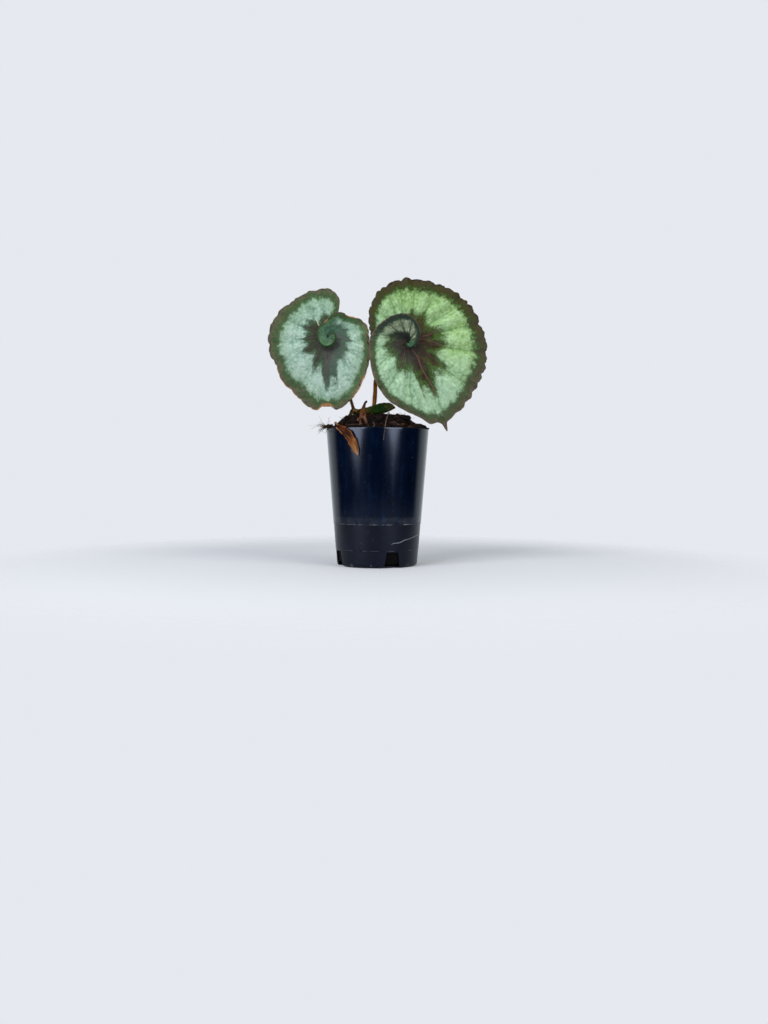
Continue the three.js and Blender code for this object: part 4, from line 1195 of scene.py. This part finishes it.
share = np.linspace(0, 1, YOUNG_ROWS)
midrib = along(YOUNG_MIDRIB, YOUNG_ROWS - 1)
share, side = np.meshgrid(share, np.linspace(-1, 1, YOUNG_COLUMNS), indexing="ij")
place = share * YOUNG_LENGTH
margin_teeth = 0.35 * np.abs(np.sin(place / 1.5)) * np.abs(side) ** 8
up = np.abs(side) * (smooth(YOUNG_HALF_WIDTH, share) + margin_teeth)
rib_place = (place - 0.55 * up) / YOUNG_RIB_GAP
rib = np.abs(rib_place - np.round(rib_place)) * YOUNG_RIB_GAP
quilt = 0.22 * (1 - np.exp(-((rib / 1.3) ** 2))) * smoothstep(0.5, 3, up)
wave = 0.45 * np.sin(place / 3.4 + side) * np.abs(side) ** 3
out = np.sign(side) * (np.minimum(up / 2, 1) * YOUNG_HOLLOW / 2 + YOUNG_SPREAD * up) + wave
middle = midrib[:, None, :] + np.stack([np.zeros(up.shape), out, 0.94 * up], axis=-1)
facing = unit(np.cross(np.gradient(middle, axis=0), np.gradient(middle, axis=1)))
outer_skin = middle + facing * (quilt + YOUNG_THICK)[..., None]
inner_skin = middle + facing * (quilt - YOUNG_THICK)[..., None]
spots, faces, behind, rims = blade_body(outer_skin, inner_skin)
edge = np.minimum((1 - np.abs(side)) * smooth(YOUNG_HALF_WIDTH, share), (1 - share) * YOUNG_LENGTH)
tones = {k: np.tile(v.ravel(), 2) for k, v in (("along", share), ("rib", rib), ("edge", edge))}
body = faces + rims + behind
make_piece(
    "young_folded_leaf", spots, body, young_skin, slot="young_leaf_blade", replaces=["young_leaf"], **tones
)
spots, faces, _ = tube(YOUNG_STALK_PATH, YOUNG_STALK_RADII, sides=20, steps=24, swell=knobbly(0.25, 5, 8))
make_piece("young_leaf_stalk", spots, faces, red_stalk, slot="stalk_skin", replaces=["young_stalk"])


# ---- Dry stub ----
# What is left of an old leaf's stalk: shrunk into lengthwise ridges, brown and papery, its broken
# top bent over and gone black. At its foot are a scrap of its sheath and a short pale root.

STUB_PATH = [
    (-14, -31.5, 135), (-13.7, -30, 142), (-13.3, -28.2, 148.5), (-12.5, -26.8, 153.8),
    (-11, -26.2, 156.8), (-9.8, -26, 157.2),
]
STUB_RADII = [[0, 3.3], [0.3, 3.2], [0.52, 2.9], [0.66, 2.1], [0.78, 1.35], [1, 1.05]]
SHEATH_PATH = [(-18.5, -33, 138.5), (-17.8, -32.8, 140), (-16.9, -32.2, 141.3), (-16, -31.5, 142.4)]
FOOT_ROOT_PATH = [(-13, -31.6, 143.4), (-11.7, -34, 140.3), (-10.7, -36.6, 137.6), (-11, -38.8, 135.4)]
STUB_PARTS = [
    # path, radii, sides, steps, and how far up the stub's colours it reaches
    (STUB_PATH, STUB_RADII, 40, 70, 1.0),
    (SHEATH_PATH, [[0, 1.2], [0.5, 1.0], [1, 0.4]], 20, 24, 0.3),
    (FOOT_ROOT_PATH, [[0, 0.9], [0.4, 1.9], [0.8, 1.3], [1, 0.5]], 20, 24, 0.28),
]


def ridges(share, turns):
    """Extra radius for a shrunken stem: twisted wrinkles that die out towards its tip."""
    twist = turns + 1.1 * share
    wrinkles = 0.3 * np.cos(6 * twist) + 0.24 * np.cos(11 * twist + 2)
    return wrinkles * (1.15 - 0.5 * share) - 0.3 * np.abs(np.cos(turns))


def dry_skin(name, stops, low, high):
    """Dead stalk or bract tissue: papery, streaked lengthwise. stops run from its foot to its tip
    and streaks go from low to high."""
    material, add, mm = start_material(name)
    spot = add("CombineXYZ", add("Math MULTIPLY", "along", 1.3), add("Math MULTIPLY", "across", 0.6))
    streak = add("TexNoise", Vector=spot, Scale=2.4, Detail=5.0, Roughness=0.65)
    fleck = add("TexNoise", Vector=mm, Scale=1.1, Detail=4.0, Roughness=0.65)
    tissue = add("ValToRGB", add_up(add, -0.08, ("along", 1.0), (fleck, 0.16)), stops=stops)
    dark = add("MapRange", streak, 0.5, 0.4, 0, 0.9)
    pale = add("MapRange", streak, 0.53, 0.64, 0, 0.9)
    skin = lay_over(add, tissue, (dark, low), (pale, high))
    gloss = add("MapRange", fleck, 0, 1, 0.5, 0.8)
    relief = add_up(add, streak, (fleck, 0.4))
    finish_skin(add, skin, relief, strength=0.7, depth=0.8, Roughness=gloss, Specular_IOR_Level=0.06)
    return material


stub_tints = [(0, "#7a5646"), (0.3, "#74492f"), (0.42, "#613a18"), (0.6, "#57340f")]
stub_tints += [(0.74, "#2a180a"), (1, "#120c07")]
stub_skin = dry_skin("shrivelled_stalk_tissue", stub_tints, "#2a1404", "#7a4f26")
parts, shares, turns = [], [], []
for path, radii, sides, steps, reach in STUB_PARTS:
    spots, faces, share = tube(path, radii, sides, steps, ridges)
    parts.append((spots, faces))
    shares.append(share * reach)
    turns.append(np.arange(len(spots)) % sides / sides * 6)
spots, faces, _ = gather(parts)
tones = {"along": np.concatenate(shares), "across": np.abs(np.concatenate(turns) - 3)}
make_piece("dry_stalk_stub", spots, faces, stub_skin, slot="dry_tissue", replaces=["dry_stub"], **tones)


# ---- Dried bract ----
# A withered bract that has slipped over the rim: a long papery scale folded along its keel, with
# curled edges, fine lengthwise ribs and a torn pinkish tip.

BRACT_OVER_RIM = [(-40, -27, 137), (-38.5, -33, 135)]
BRACT_DOWN_WALL = [
    # across and up
    (-34.9, 132), (-31, 129.1), (-27.2, 125.8), (-24.3, 121.6), (-22, 116.9), (-20.3, 112.7),
    (-17.8, 106.2),
]
BRACT_STAND = 1.5  # from the wall to its middle
BRACT_HALF_WIDTH = [[0, 1.3], [0.2, 2.7], [0.45, 4.4], [0.7, 4.8], [0.88, 3.4], [1, 1]]
BRACT_KEEL = 1.4
BRACT_THICK = 0.18  # half its thickness
BRACT_ROWS, BRACT_COLUMNS = 110, 49

spine = list(BRACT_OVER_RIM)
for x, z in BRACT_DOWN_WALL:
    spine.append((x, -math.sqrt((float(wall_radius(z)) + BRACT_STAND) ** 2 - x * x), z))
middle = along(spine, BRACT_ROWS - 1)
forward = unit(np.gradient(middle, axis=0))
out = unit(middle * (1, 1, 0))
across = unit(np.cross(out, forward))
share, side = np.meshgrid(np.linspace(0, 1, BRACT_ROWS), np.linspace(-1, 1, BRACT_COLUMNS), indexing="ij")
torn = 1 + 0.07 * np.sin(share * 37) + 0.05 * np.sin(share * 83 + side)
width = smooth(BRACT_HALF_WIDTH, share) * torn
curled = 1.5 * np.abs(side) ** 4 * (0.4 + 0.6 * np.sin(share * 5 + 1.5 * (side > 0)) ** 2)
lift = BRACT_KEEL * (1 - np.abs(side)) ** 1.4 - 0.5 + curled
lift = lift + 0.22 * np.cos(side * 21 + 2 * share) + 0.3 * np.sin(share * 19 + 3 * side)
sheet = middle[:, None] + across[:, None] * (side * width * (1 - 0.12 * side**4))[..., None]
sheet = sheet + out[:, None] * np.maximum(lift, -0.9)[..., None]
half = np.broadcast_to(out[:, None], sheet.shape) * BRACT_THICK
spots, faces, behind, rims = blade_body(sheet + half, sheet - half)
bract_tints = [(0, "#150905"), (0.2, "#3c1a0d"), (0.4, "#632f12"), (0.7, "#7d4519")]
bract_tints += [(0.88, "#93653d"), (1, "#c9a08c")]
bract_skin = dry_skin("papery_dried_bract", bract_tints, "#1e0b03", "#c0925f")
tones = {"along": np.tile(share.ravel(), 2), "across": np.tile((side * 1.3).ravel() + 5, 2)}
faces, behind, rims = ([f[::-1] for f in some] for some in (faces, behind, rims))
body = faces + rims + behind
make_piece(
    "dried_bract_scale", spots, body, bract_skin, slot="dry_tissue", replaces=["dried_bract"], **tones
)


# ---- Roots over the rim ----
# One thin adventitious root hangs from the mix over the rim and down the wall, and a few broken
# rootlets lie on the mix's edge beside it. They are dry, round and a little wrinkled.

ROOT_PATH = [
    (11.4, -20, 142), (11, -22.5, 147.2), (9.6, -31, 143.9), (8.3, -40, 138.9), (7.5, -47.6, 134.4),
    (7.3, -50.1, 132.7), (7, -50.45, 130.5), (6.4, -50.1, 126), (5.7, -49.7, 120),
]
ROOT_RADII = [[0, 0.5], [0.3, 0.42], [0.7, 0.38], [1, 0.26]]
ROOTLET_RADII = [[0, 0.32], [0.6, 0.26], [1, 0.14]]
ROOTLETS = [
    [
        (-12, -40, 137.6), (-10.8, -43.5, 137.4), (-9, -46.6, 135.6), (-8.2, -49.2, 133.4),
        (-8.6, -49.9, 131.6),
    ],
    [(-4, -43.5, 136.4), (-2.6, -46.5, 135.4), (-2.8, -49.2, 133.4), (-4.2, -50.4, 131.8)],
    [(14, -36, 137.5), (16.5, -40, 137.4), (19, -43.5, 135.2), (22, -44.5, 133.8)],
    [(-27, -39, 134.4), (-22, -42.5, 134.8), (-17.5, -44, 134.6), (-14, -46.5, 133.4)],
]

# Dry root skin: a dull greyish pink bark with finer, paler wrinkles.
root_skin = peat_tint("dry_root_skin", [(0, "#33261f"), (0.5, "#5e4a42"), (1, "#9c8678")], Roughness=0.75)
spots, faces, _ = tube(ROOT_PATH, ROOT_RADII, sides=12, steps=90, swell=knobbly(0.16, 24, 4))
tone = mottled(spots, 0.45, 0.5, 1.4, 6)
make_piece(
    "hanging_root_strand", spots, faces, root_skin, slot="root_skin", replaces=["hanging_root"], tone=tone
)
spots, faces, _ = gather([tube(path, ROOTLET_RADII, 9, 36, knobbly(0.12, 14, 9))[:2] for path in ROOTLETS])
tone = mottled(spots, 0.35, 0.6, 1.4, 8)
make_piece("broken_rootlets", spots, faces, root_skin, slot="root_skin", tone=tone)


# ---- Pale thread on the left leaf ----
# A cream-coloured dead flower thread, 9 mm long, that has stuck to the left leaf beside its
# rolled centre. It is soft, a little uneven and slightly curved.

THREAD_SWEEP = 122.0
THREAD_RADII = [[0, 0.35], [0.5, 0.5], [1, 0.6]]
THREAD_REACH = [21.8, 19.5, 17, 14.5, 12.6]  # from the leaf's hub

thread_path = []
for reach in THREAD_REACH:
    bend = THREAD_SWEEP + 0.9 * math.sin(reach) + 0.35 * (THREAD_REACH[0] - reach)
    spot = blade_spots(LEFT_LEAF, np.array(bend), np.array(reach), np.array(0.3))
    thread_path.append(spot - (0, 1.7, 0))
thread_skin = peat_tint("dead_flower_thread", [(0, "#a9b58c"), (1, "#e2e6c6")], Roughness=0.7)
spots, faces, _ = tube(thread_path, THREAD_RADII, sides=10, steps=30, swell=knobbly(0.1, 8, 2))
tone = np.full(len(spots), 0.6)
make_piece("pale_flower_thread", spots, faces, thread_skin, slot="dry_tissue", tone=tone)


# ---- Studio ----
# A pale disc of matt painted board that fades out into an even pale room, soft light from
# above, and two oval panels low at the front whose shine runs down the pot.

ROOM = "#e6e9ef"
BOARD_RADIUS, BOARD_SIDES = 600.0, 128
board, add, mm = start_material("matt_painted_board")
paint = add("BsdfPrincipled", Roughness=0.85, Base_Color="#d9dbe0")
far = add("VectorMath LENGTH", mm).outputs["Value"]
fade = add("MapRange SMOOTHSTEP", far, 200.0, 460.0)
add("OutputMaterial", Surface=add("MixShader", fade, paint, add("BsdfTransparent")))
disc = bpy.data.meshes.new("floor")
turns = np.linspace(0, 2 * np.pi, BOARD_SIDES, endpoint=False)
edge = [(BOARD_RADIUS * MM * math.cos(a), BOARD_RADIUS * MM * math.sin(a), 0) for a in turns]
disc.from_pydata(edge, [], [list(range(BOARD_SIDES))])
disc.materials.append(board)
floor = bpy.data.objects.new("floor", disc)
floor.location.z = -0.2 * MM  # just clear of the pot's underside
scene.collection.objects.link(floor)

world = bpy.data.worlds.new("pale_studio")
scene.world = world
add = start_nodes(world)
heading = add("SeparateXYZ", add("TexCoord").outputs["Generated"])
behind = add("MapRange SMOOTHSTEP", heading.outputs["Y"], 0.22, 0.5)
overhead = add("MapRange SMOOTHSTEP", heading.outputs["Z"], 0.15, 0.6)
bright = add("Math MAXIMUM", behind, overhead)
bright = add("MapRange", bright, 0, 1, 0.03, 0.6)
# the far wall is brighter low down, which gives the pot's sides their pale edges
low_down = add("MapRange", heading.outputs["Z"], 0.05, 0.25, 0.5, 0.0)
bright = add("Math MULTIPLY_ADD", behind, low_down, bright)
room_light = add("Background", "#ecf5fa", Strength=bright)
room_seen = add("Background", ROOM, Strength=1.0)
seen = add("LightPath").outputs["Is Camera Ray"]
mixed = add("MixShader", seen, room_light, room_seen)
add("OutputWorld", Surface=mixed)

SOFT_PANELS = [
    # name, place in metres, height it faces, size, what a white card before it would show, colour,
    # and whether it is an oval that only gives shine
    ("window_upper_left", (-0.75, -1.05, 1.15), 0.17, (0.9, 0.9), 6.6, "#fdfbff", False),
    ("window_upper_right", (0.95, -0.85, 0.95), 0.17, (0.8, 0.8), 4.0, "#fffaf2", False),
    ("low_panel_left", (-0.432, -0.426, 0.187), 0.12, (0.47, 0.29), 16.8, "#eff3fc", True),
    ("low_panel_right", (0.34, -0.494, 0.192), 0.12, (0.42, 0.28), 16.4, "#eff3fc", True),
]
for name, at, aim_z, size, brightness, colour, oval in SOFT_PANELS:
    light = bpy.data.lights.new(name, "AREA")
    light.shape = "ELLIPSE" if oval else "RECTANGLE"
    light.size, light.size_y = size
    light.energy = brightness * math.pi * size[0] * size[1] * (math.pi / 4 if oval else 1)
    light.color = linear(colour)[:3]
    panel = bpy.data.objects.new(name, light)
    panel.location = at
    panel.rotation_euler = (Vector(at) - Vector((0, 0, aim_z))).to_track_quat("Z", "Y").to_euler()
    panel.visible_camera = False
    panel.visible_diffuse = not oval
    scene.collection.objects.link(panel)
